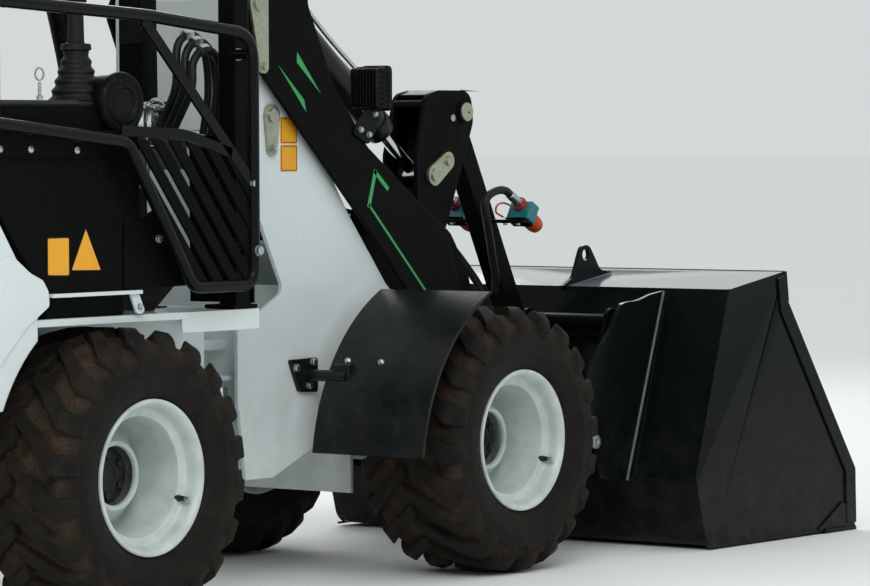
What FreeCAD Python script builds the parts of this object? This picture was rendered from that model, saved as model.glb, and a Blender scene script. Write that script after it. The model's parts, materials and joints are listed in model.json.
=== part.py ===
import FreeCAD, Part
import math
import os

# Compact articulated wheel loader, battery driven, with a single boom and a light goods bucket.
# Millimetres, X forward, Y to the left, Z up, origin under the middle of the whole machine.
# Profiles are given in the side view as (forward, up, corner radius) from the pin or axle they belong to.

doc = FreeCAD.newDocument("compact_wheel_loader")
V = FreeCAD.Vector
ACROSS = V(0, 1, 0)

# Driving sizes: alias, millimetres or degrees, meaning
SIZES = (
    ("rear_axle_x", -1035.5, "rear axle from the origin"),
    ("wheelbase", 1350, "rear axle to front axle"),
    ("axle_height", 322, "wheel centre above the ground"),
    ("wheel_plane", 414, "tyre middle from the centre line"),
    ("tyre_width", 292, "tyre section"),
    ("rim_radius", 169, "rim flange"),
    ("rim_width", 262, "rim over its flanges"),
    ("rim_wall", 6, "rim sheet"),
    ("disc_inset", 66, "wheel disc inboard of the tyre middle"),
    ("hub_radius", 58, "wheel hub"),
    ("axle_half", 225, "end of the axle housing from the centre line"),
    ("running_gap", 0.3, "radial and end gap of a pin or shaft"),
    ("sheet", 6, "floor and cover sheet"),
    ("frame_plate", 12, "chassis and boom plate"),
    ("chassis_half", 212, "outside of the rear chassis from the centre line"),
    ("floor_height", 668, "top of the operator floor"),
    ("floor_rise", 28, "operator floor above the top of the rear chassis"),
    ("floor_half", 440, "operator floor from the centre line"),
    ("pivot_from_rear", 675, "articulation pivot ahead of the rear axle"),
    ("pivot_pin_radius", 26, "articulation pin"),
    ("mast_half", 180, "outside of the mast plates"),
    ("boom_half", 210, "outside of the boom side plates"),
    ("boom_pivot_dx", 82, "boom pivot ahead of the articulation"),
    ("boom_pivot_z", 1366, "boom pivot height"),
    ("boom_pin_radius", 25, "boom pivot pin"),
    ("link_pin_radius", 20, "pins of the tilt linkage"),
    ("nose_inner", 60, "inside of the boom nose plates"),
    ("crank_half", 55, "outside of the bell crank plates"),
    ("tip_dx", 1173, "bucket pivot ahead of the boom pivot"),
    ("tip_dz", -1146, "bucket pivot above the boom pivot"),
    ("bucket_half", 600, "bucket side from the centre line"),
    ("bucket_sheet", 8, "bucket sheet"),
    ("barrel_radius", 37, "tilt and lift cylinder barrel"),
    ("rod_radius", 16, "tilt and lift cylinder rod"),
    ("steer_barrel_radius", 25, "steering cylinder barrel"),
    ("steer_rod_radius", 14, "steering cylinder rod"),
    ("fender_radius", 405, "mudguard outside, about the front axle"),
    ("fender_width", 330, "mudguard across"),
    ("canopy_height", 2100, "top of the roof"),
    ("post_size", 50, "canopy post"),
    ("tube_radius", 14, "side guard tube"),
    ("hood_half", 445, "rear hood from the centre line"),
    ("seat_half", 230, "seat from the centre line"),
    ("tow_hole_radius", 13.5, "hole for the towing pin"),
)

sheet = doc.addObject("Spreadsheet::Sheet", "Sizes")
for row, (alias, value, meaning) in enumerate(SIZES, start=1):
    sheet.set("A%d" % row, meaning)
    sheet.set("B%d" % row, str(value))
    sheet.setAlias("B%d" % row, alias)
doc.recompute()


class Sizes:
    """The sheet's values under their own names."""


s = Sizes()
for alias, value, meaning in SIZES:
    setattr(s, alias, float(sheet.get(alias)))
CHASSIS_TOP = s.floor_height - s.floor_rise

# Datums in the side view (forward, up)
REAR = (s.rear_axle_x, s.axle_height)
FRONT = (s.rear_axle_x + s.wheelbase, s.axle_height)
ARTIC = (s.rear_axle_x + s.pivot_from_rear, 0.0)
BOOM = (ARTIC[0] + s.boom_pivot_dx, s.boom_pivot_z)
TIP = (BOOM[0] + s.tip_dx, BOOM[1] + s.tip_dz)


def at(datum, dx, dz):
    """A side view point set off from a datum."""
    return (datum[0] + dx, datum[1] + dz)


LIFT_BASE = at(BOOM, 83, -263)
LIFT_EYE = at(BOOM, 573, -566)
TILT_BASE = at(BOOM, 143, 148)
CRANK = at(BOOM, 843, -606)
CRANK_EYE = at(CRANK, 33, 196)
CRANK_TOP = at(CRANK, 165, 355)
LINK_END = at(TIP, 120, 340)
STEER_HEIGHT = 450.0
STEER_SIDE = 110.0
STEER_BASE = (ARTIC[0] - 375.0, STEER_HEIGHT)
STEER_EYE = (ARTIC[0] + 60.0, STEER_HEIGHT)

nodes = []


def keep(name, shape_or_object):
    """File a finished sub-part under its node name."""
    if isinstance(shape_or_object, Part.Shape):
        obj = doc.addObject("Part::Feature", name)
        obj.Shape = shape_or_object
    else:
        obj = shape_or_object
    obj.Label = name
    nodes.append(obj)
    return obj


def fuse(shapes):
    """One solid from shapes that touch or overlap."""
    return shapes[0].multiFuse(shapes[1:]).removeSplitter()


def outline_wire(points, place):
    """Closed wire through (u, v, radius) corners, rounded by tangent arcs that the edges have room for."""
    corners = [V(u, v, 0) for u, v, radius in points]
    count = len(points)
    starts, ends, arcs = [], [], []
    for index, (u, v, radius) in enumerate(points):
        corner = corners[index]
        before = corners[index - 1] - corner
        after = corners[(index + 1) % count] - corner
        room = 0.48 * min(before.Length, after.Length)
        before.normalize()
        after.normalize()
        half = before.getAngle(after) / 2.0
        reach = min(radius / math.tan(half), room)
        if reach < 0.01:
            starts.append(corner)
            ends.append(corner)
            arcs.append(None)
            continue
        bend = reach * math.tan(half)
        first = corner + before * reach
        last = corner + after * reach
        centre = corner + (before + after).normalize() * (bend / math.sin(half))
        middle = centre + (corner - centre).normalize() * bend
        starts.append(first)
        ends.append(last)
        arcs.append(Part.Arc(place(first), place(middle), place(last)).toShape())
    edges = []
    for index in range(count):
        if arcs[index] is not None:
            edges.append(arcs[index])
        edges.append(Part.makeLine(place(ends[index]), place(starts[(index + 1) % count])))
    return Part.Wire(edges)


def side_plate(datum, points, y_low, y_high, holes=()):
    """Plate whose outline lies in the side view, from y_low to y_high; holes are (dx, dz, radius)."""
    def place(point):
        return V(datum[0] + point.x, y_low, datum[1] + point.y)
    solid = Part.Face(outline_wire(points, place)).extrude(V(0, y_high - y_low, 0))
    for dx, dz, radius in holes:
        solid = solid.cut(pin(at(datum, dx, dz), radius, y_low - 1, y_high + 1))
    return solid


def flat_bar(datum, start, end, width, y_low, y_high):
    """Straight flat bar in the side view between two points."""
    side = V(end[0] - start[0], end[1] - start[1], 0).normalize() * (width / 2.0)
    corners = [(start[0] - side.y, start[1] + side.x, 0), (end[0] - side.y, end[1] + side.x, 0),
               (end[0] + side.y, end[1] - side.x, 0), (start[0] + side.y, start[1] - side.x, 0)]
    return side_plate(datum, corners, y_low, y_high)


def level_plate(points, z_low, z_high, origin=(0.0, 0.0)):
    """Plate whose outline lies in plan (forward, left), from z_low to z_high."""
    def place(point):
        return V(origin[0] + point.x, origin[1] + point.y, z_low)
    return Part.Face(outline_wire(points, place)).extrude(V(0, 0, z_high - z_low))


def box(x_low, x_high, y_low, y_high, z_low, z_high):
    """Box between six planes."""
    return Part.makeBox(x_high - x_low, y_high - y_low, z_high - z_low, V(x_low, y_low, z_low))


def pin(centre, radius, y_low, y_high):
    """Round bar across the machine."""
    return Part.makeCylinder(radius, y_high - y_low, V(centre[0], y_low, centre[1]), ACROSS)


def mirror(shape):
    """The same piece on the other side."""
    return shape.mirror(V(0, 0, 0), ACROSS)


def both(shape):
    """The piece on the right and on the left, as one list."""
    return [shape, mirror(shape)]


def tube_path(points, radius, bends):
    """Round bar through 3-D points with one bend radius at each inner point."""
    edges = []
    last = points[0]
    for index in range(1, len(points) - 1):
        corner = points[index]
        before = (points[index - 1] - corner).normalize()
        after = (points[index + 1] - corner).normalize()
        half = before.getAngle(after) / 2.0
        bend = bends[index - 1]
        first = corner + before * (bend / math.tan(half))
        end = corner + after * (bend / math.tan(half))
        centre = corner + (before + after).normalize() * (bend / math.sin(half))
        middle = centre + (corner - centre).normalize() * bend
        edges.append(Part.makeLine(last, first))
        edges.append(Part.Arc(first, middle, end).toShape())
        last = end
    edges.append(Part.makeLine(last, points[-1]))
    path = Part.Wire(edges)
    ring = Part.Wire([Part.Circle(points[0], points[1] - points[0], radius).toShape()])
    return path.makePipeShell([ring], True, False)


def bar(start, end, radius, bore=0.0):
    """Straight round bar or tube between two 3-D points."""
    run = end - start
    solid = Part.makeCylinder(radius, run.Length, start, run)
    if bore > 0:
        solid = solid.cut(Part.makeCylinder(bore, run.Length, start, run))
    return solid


def side_point(centre, y):
    """3-D point from a side view point and its distance to the left."""
    return V(centre[0], y, centre[1])


def revolved(profile, centre, y_sign):
    """Solid of revolution about a wheel's axle from (along the axle outward, radius) corners."""
    def place(point):
        return V(centre[0], y_sign * point.x, centre[1] + point.y)
    wire = outline_wire([(along, radius, 0) for along, radius in profile], place)
    return Part.Face(wire).revolve(V(centre[0], 0, centre[1]), ACROSS, 360)


# Wheels: tyre section and deep dished rim, as (along the axle, radius)
TYRE_BEAD = s.rim_radius - 12
TYRE_HALF = s.tyre_width / 2.0
RIM_HALF = s.rim_width / 2.0


def tyre(centre, y_sign):
    """Farm tyre to the tips of its lugs."""
    tip = s.axle_height
    profile = (
        (s.wheel_plane - RIM_HALF + 14, TYRE_BEAD),
        (s.wheel_plane - RIM_HALF + 14, s.rim_radius + 2),
        (s.wheel_plane - TYRE_HALF, s.rim_radius + 42),
        (s.wheel_plane - TYRE_HALF, tip - 60),
        (s.wheel_plane - TYRE_HALF + 20, tip - 12),
        (s.wheel_plane - TYRE_HALF + 60, tip),
        (s.wheel_plane + TYRE_HALF - 60, tip),
        (s.wheel_plane + TYRE_HALF - 20, tip - 12),
        (s.wheel_plane + TYRE_HALF, tip - 60),
        (s.wheel_plane + TYRE_HALF, s.rim_radius + 42),
        (s.wheel_plane + RIM_HALF - 14, s.rim_radius + 2),
        (s.wheel_plane + RIM_HALF - 14, TYRE_BEAD),
    )
    return revolved(profile, centre, y_sign)


def rim(centre, y_sign):
    """Rim with its drop centre, the disc far inboard, and the hub that carries it."""
    wall = s.rim_wall
    seat = TYRE_BEAD - s.running_gap
    well = seat - 22
    outer = s.wheel_plane + RIM_HALF
    inner = s.wheel_plane - RIM_HALF
    disc = s.wheel_plane - s.disc_inset
    housing = s.axle_half + s.running_gap
    profile = (
        (outer, s.rim_radius),
        (outer - 13, s.rim_radius),
        (outer - 13, seat),
        (outer - 60, seat),
        (outer - 80, well),
        (inner + 60, well),
        (inner + 44, seat),
        (inner + 13, seat),
        (inner + 13, s.rim_radius),
        (inner, s.rim_radius),
        (inner, seat - wall),
        (inner + 40, seat - wall),
        (inner + 56, well - wall),
        (disc - 10, well - wall),
        (disc - 10, s.hub_radius + 22),
        (housing, s.hub_radius + 22),
        (housing, 0),
        (disc + 26, 0),
        (disc + 26, s.hub_radius),
        (disc + 2, s.hub_radius),
        (disc + 2, well - wall),
        (outer - 82, well - wall),
        (outer - 64, seat - wall),
        (outer, seat - wall),
    )
    return revolved(profile, centre, y_sign)


for axle_name, centre in (("front", FRONT), ("rear", REAR)):
    for side_name, y_sign in (("right", -1), ("left", 1)):
        keep("tyre_%s_%s" % (axle_name, side_name), tyre(centre, y_sign))
        keep("rim_%s_%s" % (axle_name, side_name), rim(centre, y_sign))


def axle_housing(centre):
    """Cross beam that ends at the two hubs."""
    beam = box(centre[0] - 62, centre[0] + 62, -s.axle_half + 30, s.axle_half - 30,
               centre[1] - 62, centre[1] + 62)
    ends = [pin(centre, 74, s.axle_half - 40, s.axle_half), pin(centre, 74, -s.axle_half, -s.axle_half + 40)]
    return fuse([beam] + ends)


# Rear chassis
EAR_LOW = (300.0, 325.0)
EAR_HIGH = (575.0, 600.0)


def rear_chassis():
    """Two side plates, belly and top sheets, axle housing and the ears of the articulation."""
    plate = s.frame_plate
    inside = s.chassis_half - plate
    top = CHASSIS_TOP - s.axle_height
    side = side_plate(REAR, [(-640, -30, 30), (-640, top, 0), (560, top, 0), (560, 130, 20), (440, -60, 40),
                             (300, -100, 0), (-300, -100, 0)], inside, s.chassis_half)
    belly = box(REAR[0] - 300, REAR[0] + 300, -inside, inside, s.axle_height - 100, s.axle_height - 88)
    deck = box(REAR[0] - 640, REAR[0] + 560, -inside, inside, CHASSIS_TOP - plate, CHASSIS_TOP)
    tail = box(REAR[0] - 640, REAR[0] - 628, -inside, inside, s.axle_height - 20, CHASSIS_TOP - plate)
    ears = []
    for low, high in (EAR_LOW, EAR_HIGH):
        ear = level_plate([(-250, -inside, 0), (-115, -inside, 0), (-115, -130, 20), (-10, -75, 40), (56, -38, 38),
                           (56, 38, 38), (-10, 75, 40), (-115, 130, 20), (-115, inside, 0), (-250, inside, 0)],
                          low, high, ARTIC)
        ears.append(ear)
    web = box(ARTIC[0] - 262, ARTIC[0] - 250, -inside, inside, EAR_LOW[0],
              STEER_HEIGHT - s.steer_barrel_radius - 40)
    posts = Part.makeCylinder(s.pivot_pin_radius, EAR_HIGH[1] - EAR_LOW[0] + 16,
                              V(ARTIC[0], 0, EAR_LOW[0] - 8))
    lug = level_plate([(-70, -20, 0), (0, -30, 0), (26, 0, 24), (0, 30, 0), (-70, 20, 0)],
                      STEER_HEIGHT - 32, STEER_HEIGHT - 20, (STEER_BASE[0], -STEER_SIDE))
    lug_top = lug.translated(V(0, 0, 52))
    lug_web = box(STEER_BASE[0] - 82, STEER_BASE[0] - 70, -inside, inside, s.axle_height - 90,
                  CHASSIS_TOP - plate)
    steer_pin = Part.makeCylinder(12, 64, V(STEER_BASE[0], -STEER_SIDE, STEER_HEIGHT - 32))
    pieces = both(side) + [belly, deck, tail, axle_housing(REAR), web, posts, lug, lug_top, lug_web, steer_pin]
    return fuse(pieces + ears)


keep("rear_chassis", rear_chassis())


FLOOR_FRONT = REAR[0] + 485
FLOOR_BACK = REAR[0] - 250


def operator_floor():
    """Sheet floor with turned down edges on two ribs that stand on the rear chassis."""
    step = REAR[0] + 220
    under = s.floor_height - s.sheet
    seat = CHASSIS_TOP + s.running_gap
    skirt_low = s.floor_height - 46
    top = box(FLOOR_BACK, FLOOR_FRONT, -s.floor_half, s.floor_half, under, s.floor_height)
    edge = box(FLOOR_BACK, step, s.floor_half - s.sheet, s.floor_half, s.floor_height - 16, s.floor_height)
    skirt = box(step, FLOOR_FRONT, s.floor_half - s.sheet, s.floor_half, skirt_low, s.floor_height)
    rib = box(FLOOR_BACK, FLOOR_FRONT, 120, 132, seat, under)
    nose = box(FLOOR_FRONT - s.sheet, FLOOR_FRONT, s.chassis_half + 2, s.floor_half, skirt_low, s.floor_height)
    return fuse([top] + both(edge) + both(skirt) + both(rib) + both(nose))


keep("operator_floor", operator_floor())

# Rear hood: wedge points forward over the rear wheels, arches cut round them
HOOD_BACK = -660
HOOD_TOP = 1000
HOOD_TIP = (-250, 705)
HOOD_SHOULDER = -450
ARCH_RADIUS = 392


def rear_hood():
    """Hollow bodywork over the battery, open below, with a firewall that stands on the chassis."""
    base = (REAR[0], 0.0)
    low = 480

    def outline(inset):
        tip = HOOD_TIP[0] - 1.4 * inset
        return [(HOOD_BACK + inset, low, 0), (HOOD_BACK + inset, HOOD_TOP - 70 - inset, 50),
                (HOOD_BACK + 90, HOOD_TOP - inset, 50), (HOOD_SHOULDER - 0.5 * inset, HOOD_TOP - inset, 0),
                (tip, HOOD_TIP[1], 0), (tip, low, 0)]
    half = s.hood_half
    arch = pin(REAR, ARCH_RADIUS, -half - 5, half + 5)
    inner_arch = pin(REAR, ARCH_RADIUS + s.sheet, s.chassis_half + 14, half + 5)
    outer = side_plate(base, outline(0), -half, half).cut(arch)
    hollow = side_plate(base, outline(s.sheet), -half + s.sheet, half - s.sheet)
    hollow = hollow.cut(inner_arch).cut(mirror(inner_arch))
    below = box(REAR[0] + HOOD_BACK - 10, REAR[0], -s.chassis_half - 14, s.chassis_half + 14, 0, CHASSIS_TOP + 4)
    wall = box(REAR[0] - 372, REAR[0] - 366, -s.chassis_half + 20, s.chassis_half - 20,
               CHASSIS_TOP + s.running_gap, HOOD_TOP - 90)
    wall = wall.common(side_plate(base, outline(s.sheet / 2.0), -half, half))
    return fuse([outer.cut(hollow).cut(below), wall])


keep("rear_hood", rear_hood())
keep("battery_pack", box(REAR[0] - 630, REAR[0] - 390, -190, 190, CHASSIS_TOP + s.running_gap, 880))


WEIGHT_LOW = 260.0
TOW_LEDGE = 40.0


def counterweight():
    """Cast block behind the chassis with a recess whose ledge takes a towing pin from above."""
    front = REAR[0] - 640 - s.running_gap
    back = REAR[0] - 700
    body = level_plate([(front, -290, 0), (front, 290, 0), (back, 250, 20), (back, -250, 20)],
                       WEIGHT_LOW, WEIGHT_LOW + 218)
    recess = box(back - 1, back + 45, -60, 60, WEIGHT_LOW + TOW_LEDGE, WEIGHT_LOW + 219)
    hole = Part.makeCylinder(s.tow_hole_radius, 2 * TOW_LEDGE, V(back + 22, 0, WEIGHT_LOW - 1))
    return body.cut(recess).cut(hole)


keep("counterweight", counterweight())

# Operator's place
CONSOLE_LOW = s.floor_height + 54
CONSOLE_TOP = HOOD_TOP + 70
ARM_REST_TOP = CONSOLE_TOP + 50
SEAT_LOW = s.floor_height + 232
DASH_TOP = s.floor_height + 392
CONSOLE_IN = 250
CONSOLE_BACK = -480
CONSOLE_OUT = 445


def side_console():
    """Right console that follows the hood's slope, with its arm rest and plinth."""
    base = (REAR[0], 0.0)
    gap = 3.0
    slope = [(77, CONSOLE_LOW, 12), (77, CONSOLE_TOP, 25), (CONSOLE_BACK, CONSOLE_TOP, 20),
             (CONSOLE_BACK, HOOD_TOP + s.running_gap, 0), (HOOD_SHOULDER + gap, HOOD_TOP + s.running_gap, 0),
             (HOOD_TIP[0] + gap + 10, CONSOLE_LOW, 0)]
    panel = side_plate(base, slope, -CONSOLE_OUT, -CONSOLE_IN)
    rest = side_plate(base, [(-400, CONSOLE_TOP - 5, 0), (-400, ARM_REST_TOP, 20), (-10, ARM_REST_TOP, 40),
                             (30, CONSOLE_TOP - 5, 0)], -CONSOLE_OUT + 20, -CONSOLE_IN - 20)
    plinth = box(REAR[0] - 200, REAR[0] + 50, -CONSOLE_OUT + 25, -CONSOLE_IN - 20,
                 s.floor_height + s.running_gap, CONSOLE_LOW + 5)
    return fuse([panel, rest, plinth])


right_console = side_console()
keep("side_consoles", Part.makeCompound(both(right_console)))


def joystick():
    """Lever with a bellows boot on the right arm rest."""
    foot = ARM_REST_TOP + s.running_gap
    base = Part.makeCylinder(62, 14, V(0, 0, foot))
    rings = []
    for level in range(5):
        wide = 54 - 7 * level
        rings.append(Part.makeCone(wide, wide - 7, 16, V(0, 0, foot + 14 + 16 * level)))
    stem = Part.makeCylinder(11, 90, V(0, 0, foot + 90))
    grip = Part.makeCone(24, 27, 110, V(0, 0, foot + 170))
    knob = Part.makeSphere(27, V(0, 0, foot + 280))
    return fuse([base] + rings + [stem, grip, knob]).translated(V(REAR[0] - 90, -348, 0))


keep("joystick", joystick())


def seat_base():
    """Pedestal under the seat, on the floor."""
    base = (REAR[0], 0.0)
    return side_plate(base, [(-245, s.floor_height + s.running_gap, 0), (-245, SEAT_LOW, 20), (190, SEAT_LOW, 20),
                             (150, s.floor_height + s.running_gap, 0)], -s.seat_half + 10, s.seat_half - 10)


keep("seat_base", seat_base())


def seat_cushion():
    """Plain cushion."""
    base = (REAR[0], 0.0)
    low = SEAT_LOW + s.running_gap
    return side_plate(base, [(-235, low, 20), (-235, low + 90, 30), (225, low + 105, 45), (225, low, 30)],
                      -s.seat_half, s.seat_half)


keep("seat_cushion", seat_cushion())


def seat_back():
    """Plain back rest that stands on the cushion."""
    base = (REAR[0], 0.0)
    low = SEAT_LOW + 90.1 + 2 * s.running_gap
    return side_plate(base, [(-232, low, 10), (-300, low + 420, 45), (-215, low + 430, 40), (-130, low + 3.3, 25)],
                      -s.seat_half, s.seat_half)


keep("seat_back", seat_back())


def steering_column():
    """Dash post on the floor with the inclined column and steering wheel."""
    base = (REAR[0], 0.0)
    post = side_plate(base, [(420, s.floor_height + s.running_gap, 0), (360, DASH_TOP, 30), (470, DASH_TOP + 40, 30),
                             (480, s.floor_height + s.running_gap, 0)], -120, 120)
    foot = side_point(at(base, 400, DASH_TOP - 20), 0)
    head = side_point(at(base, 300, DASH_TOP + 155), 0)
    column = bar(foot, head, 26)
    axis = (head - foot).normalize()
    wheel = Part.makeTorus(165, 15, head, axis)
    pieces = [post, column, wheel, Part.makeCylinder(40, 30, head - axis * 15, axis)]
    for turn in (90, 210, 330):
        spoke = Part.makeCylinder(9, 160, V(0, 0, 0), V(1, 0, 0))
        spoke.rotate(V(0, 0, 0), V(0, 0, 1), turn)
        spoke.Placement = FreeCAD.Placement(head, FreeCAD.Rotation(V(0, 0, 1), axis)).multiply(spoke.Placement)
        pieces.append(spoke)
    return fuse(pieces)


keep("steering_column", steering_column())


def control_valve():
    """Stacked hydraulic valve on the right of the dash post."""
    left = -120 - s.running_gap
    top = DASH_TOP
    pieces = [box(REAR[0] + 380, REAR[0] + 470, left - 120, left, top - 80, top)]
    for index in range(4):
        y = left - 18 - 28 * index
        pieces.append(bar(V(REAR[0] + 410, y, top - 5), V(REAR[0] + 410, y, top + 45), 9))
        pieces.append(bar(V(REAR[0] + 445, y, top - 5), V(REAR[0] + 445, y, top + 30), 11))
    return fuse(pieces)


keep("control_valve", control_valve())


def pedals():
    """Two foot pedals on the floor."""
    base = (REAR[0], 0.0)
    low = s.floor_height + s.running_gap
    pad = side_plate(base, [(225, low, 0), (250, low, 0), (345, low + 72, 0), (335, low + 82, 0)], -330, -210)
    small = side_plate(base, [(250, low, 0), (275, low, 0), (345, low + 60, 0), (335, low + 68, 0)], 180, 250)
    return Part.makeCompound([pad, small])


keep("pedals", pedals())

# Canopy
POST_SIDE = 405
POST_FRONT = 440
POST_BACK = -530


def square_tube(x_low, x_high, y_low, y_high, z_low, z_high, run):
    """Box tube whose hollow runs along X, Y or Z."""
    wall = 4.0
    inset = {"X": (0, wall, wall), "Y": (wall, 0, wall), "Z": (wall, wall, 0)}[run]
    solid = box(x_low, x_high, y_low, y_high, z_low, z_high)
    return solid.cut(box(x_low + inset[0], x_high - inset[0], y_low + inset[1], y_high - inset[1],
                         z_low + inset[2], z_high - inset[2]))


ROOF_RIM = 60


def canopy_frame():
    """Four square posts on base plates, tied by roof rails."""
    half = s.post_size / 2.0
    under = s.canopy_height - s.sheet - s.running_gap
    pieces = []
    for dx, foot in ((POST_FRONT, s.floor_height), (POST_BACK, HOOD_TOP)):
        x = REAR[0] + dx
        low = foot + s.running_gap
        post = square_tube(x - half, x + half, -POST_SIDE - half, -POST_SIDE + half, low, under, "Z")
        plate = box(x - half - 18, x + half + 18, -POST_SIDE - half - 8, -POST_SIDE + half + 30, low, low + 10)
        pieces += both(post) + both(plate)
        pieces.append(square_tube(x - half, x + half, -POST_SIDE + half, POST_SIDE - half, under - s.post_size,
                                  under, "Y"))
    rail = square_tube(REAR[0] + POST_BACK + half, REAR[0] + POST_FRONT - half, -POST_SIDE - half,
                       -POST_SIDE + half, under - s.post_size, under, "X")
    return fuse(pieces + both(rail))


keep("canopy_frame", canopy_frame())


def canopy_roof():
    """Roof pan of sheet whose turned down rim hangs round the rails."""
    front = REAR[0] + POST_FRONT + 90
    back = REAR[0] + POST_BACK - 70
    side = 470
    low = s.canopy_height - ROOF_RIM

    def outline(inset):
        return [(back + inset, -side + inset, 60 - inset), (front - inset, -side + inset, 60 - inset),
                (front - inset, side - inset, 60 - inset), (back + inset, side - inset, 60 - inset)]
    pan = level_plate(outline(0), low, s.canopy_height)
    return pan.cut(level_plate(outline(s.sheet), low - 1, s.canopy_height - s.sheet))


keep("canopy_roof", canopy_roof())

GUARD_SIDE = 485


def side_guard():
    """Bent tube guard beside the operator with its slatted corner and stand-offs, right hand."""
    y = -GUARD_SIDE
    base = (REAR[0], 0.0)
    rail = [side_point(at(base, dx, dz), y) for dx, dz in
            ((-430, 1356), (-94, 1330), (425, 1292), (425, 724), (205, 724), (-8, 1032), (-430, 1066))]
    tube = tube_path(rail, s.tube_radius, (400, 90, 40, 60, 60))
    brace = flat_bar(base, (44, 1318), (423, 936), 26, y - 4, y + 4)
    slats = []
    for index in range(5):
        left = 40 + 62 * index
        top = 968 - 22 * index
        slats.append(side_plate(base, [(left, top, 0), (left + 14, top, 0), (left + 192, 724, 0),
                                       (left + 178, 724, 0)], y - 3, y + 3).common(
                                           box(REAR[0] - 10, REAR[0] + 425, y - 5, y + 5, 724, 1040)))
    stays = []
    for dx, dz, inner in ((425, 1180, POST_SIDE + 25), (425, 800, POST_SIDE + 25), (-250, 1051, CONSOLE_OUT)):
        stays.append(bar(side_point(at(base, dx, dz), y), side_point(at(base, dx, dz), -inner - s.running_gap), 11))
    lock = bar(side_point(at(base, -420, 1062), y), side_point(at(base, -420, 1355), y), 11)
    return fuse([tube, brace, lock] + slats + stays)


keep("side_guards", Part.makeCompound(both(side_guard())))


def tail_lamps():
    """Rear lamps on the hood's back, one each side."""
    x = REAR[0] + HOOD_BACK - s.running_gap
    return Part.makeCompound(both(box(x - 9, x, -360, -270, 760, 830)))


keep("tail_lamps", tail_lamps())

# Front frame
MAST_IN = s.mast_half - s.frame_plate
MAST_BACK = 108


def mast():
    """Tower of two side plates with its cross sheets, articulation ears and boom pivot pin."""
    p = s.boom_pivot_dx
    z = s.boom_pivot_z
    outline = [(42, 420, 0), (42, 600, 0), (213, 688, 22), (25, 1056, 0), (25, z + 20, 20), (p, z + 62, 50),
               (p + 143, z + 30, 20), (p + 143, z - 34, 30), (365, 997, 0), (458, 868, 60), (602, 697, 60),
               (760, 560, 40), (760, 420, 0), (340, 420, 0), (340, 318, 0), (170, 249, 20), (70, 249, 0),
               (46, 417, 0)]
    side = side_plate(ARTIC, outline, MAST_IN, s.mast_half)
    back = box(ARTIC[0] + MAST_BACK, ARTIC[0] + MAST_BACK + 12, -MAST_IN, MAST_IN, 270, 636)
    web = box(ARTIC[0] + 250, ARTIC[0] + 262, -MAST_IN, MAST_IN, 420, 700)
    belly = box(ARTIC[0] + MAST_BACK, ARTIC[0] + 760, -MAST_IN, MAST_IN, 420, 432)
    slope = side_plate(ARTIC, [(490, 800, 0), (602, 670, 0), (592, 662, 0), (480, 792, 0)], -MAST_IN, MAST_IN)
    tie = box(ARTIC[0] + 40, ARTIC[0] + 52, -MAST_IN, MAST_IN, 1070, z + 10)
    ears = []
    for low, high in ((EAR_LOW[1] + 2, EAR_LOW[1] + 24), (EAR_HIGH[0] - 24, EAR_HIGH[0] - 2)):
        ear = level_plate([(MAST_BACK + 1, -90, 0), (0, -54, 50), (-54, 0, 40), (0, 54, 50), (MAST_BACK + 1, 90, 0)],
                          low, high, ARTIC)
        hole = Part.makeCylinder(s.pivot_pin_radius + s.running_gap, 700, V(ARTIC[0], 0, 0))
        ears.append(ear.cut(hole))
    lug = level_plate([(MAST_BACK + 1, -s.mast_half + 30, 0), (60, -STEER_SIDE - 24, 20), (34, -STEER_SIDE, 18),
                       (60, -STEER_SIDE + 24, 20), (MAST_BACK + 1, -60, 0)],
                      STEER_HEIGHT - 44, STEER_HEIGHT - 32, ARTIC)
    lug_top = lug.translated(V(0, 0, 76))
    pivot = pin(BOOM, s.boom_pin_radius, -MAST_IN - 1, MAST_IN + 1)
    stub = pin(BOOM, s.boom_pin_radius, s.mast_half - 1, s.boom_half - s.running_gap)
    collar = pin(BOOM, 46, s.mast_half - 1, s.mast_half + 12)
    base_pin = pin(LIFT_BASE, s.link_pin_radius, -MAST_IN - 1, MAST_IN + 1)
    front_tie = box(ARTIC[0] + 476, ARTIC[0] + 488, -MAST_IN, MAST_IN, 190, 425)
    pieces = both(side) + [back, web, belly, slope, tie, lug, lug_top, pivot, base_pin, front_tie]
    return fuse(pieces + ears + both(stub) + both(collar))


keep("mast", mast())


def front_axle_beam():
    """Front axle housing hung under the front frame on two saddles."""
    saddle = box(FRONT[0] - 90, FRONT[0] + 90, 90, 150, s.axle_height + 40, 420 - s.running_gap)
    return fuse([axle_housing(FRONT)] + both(saddle))


keep("front_axle_beam", front_axle_beam())


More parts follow.
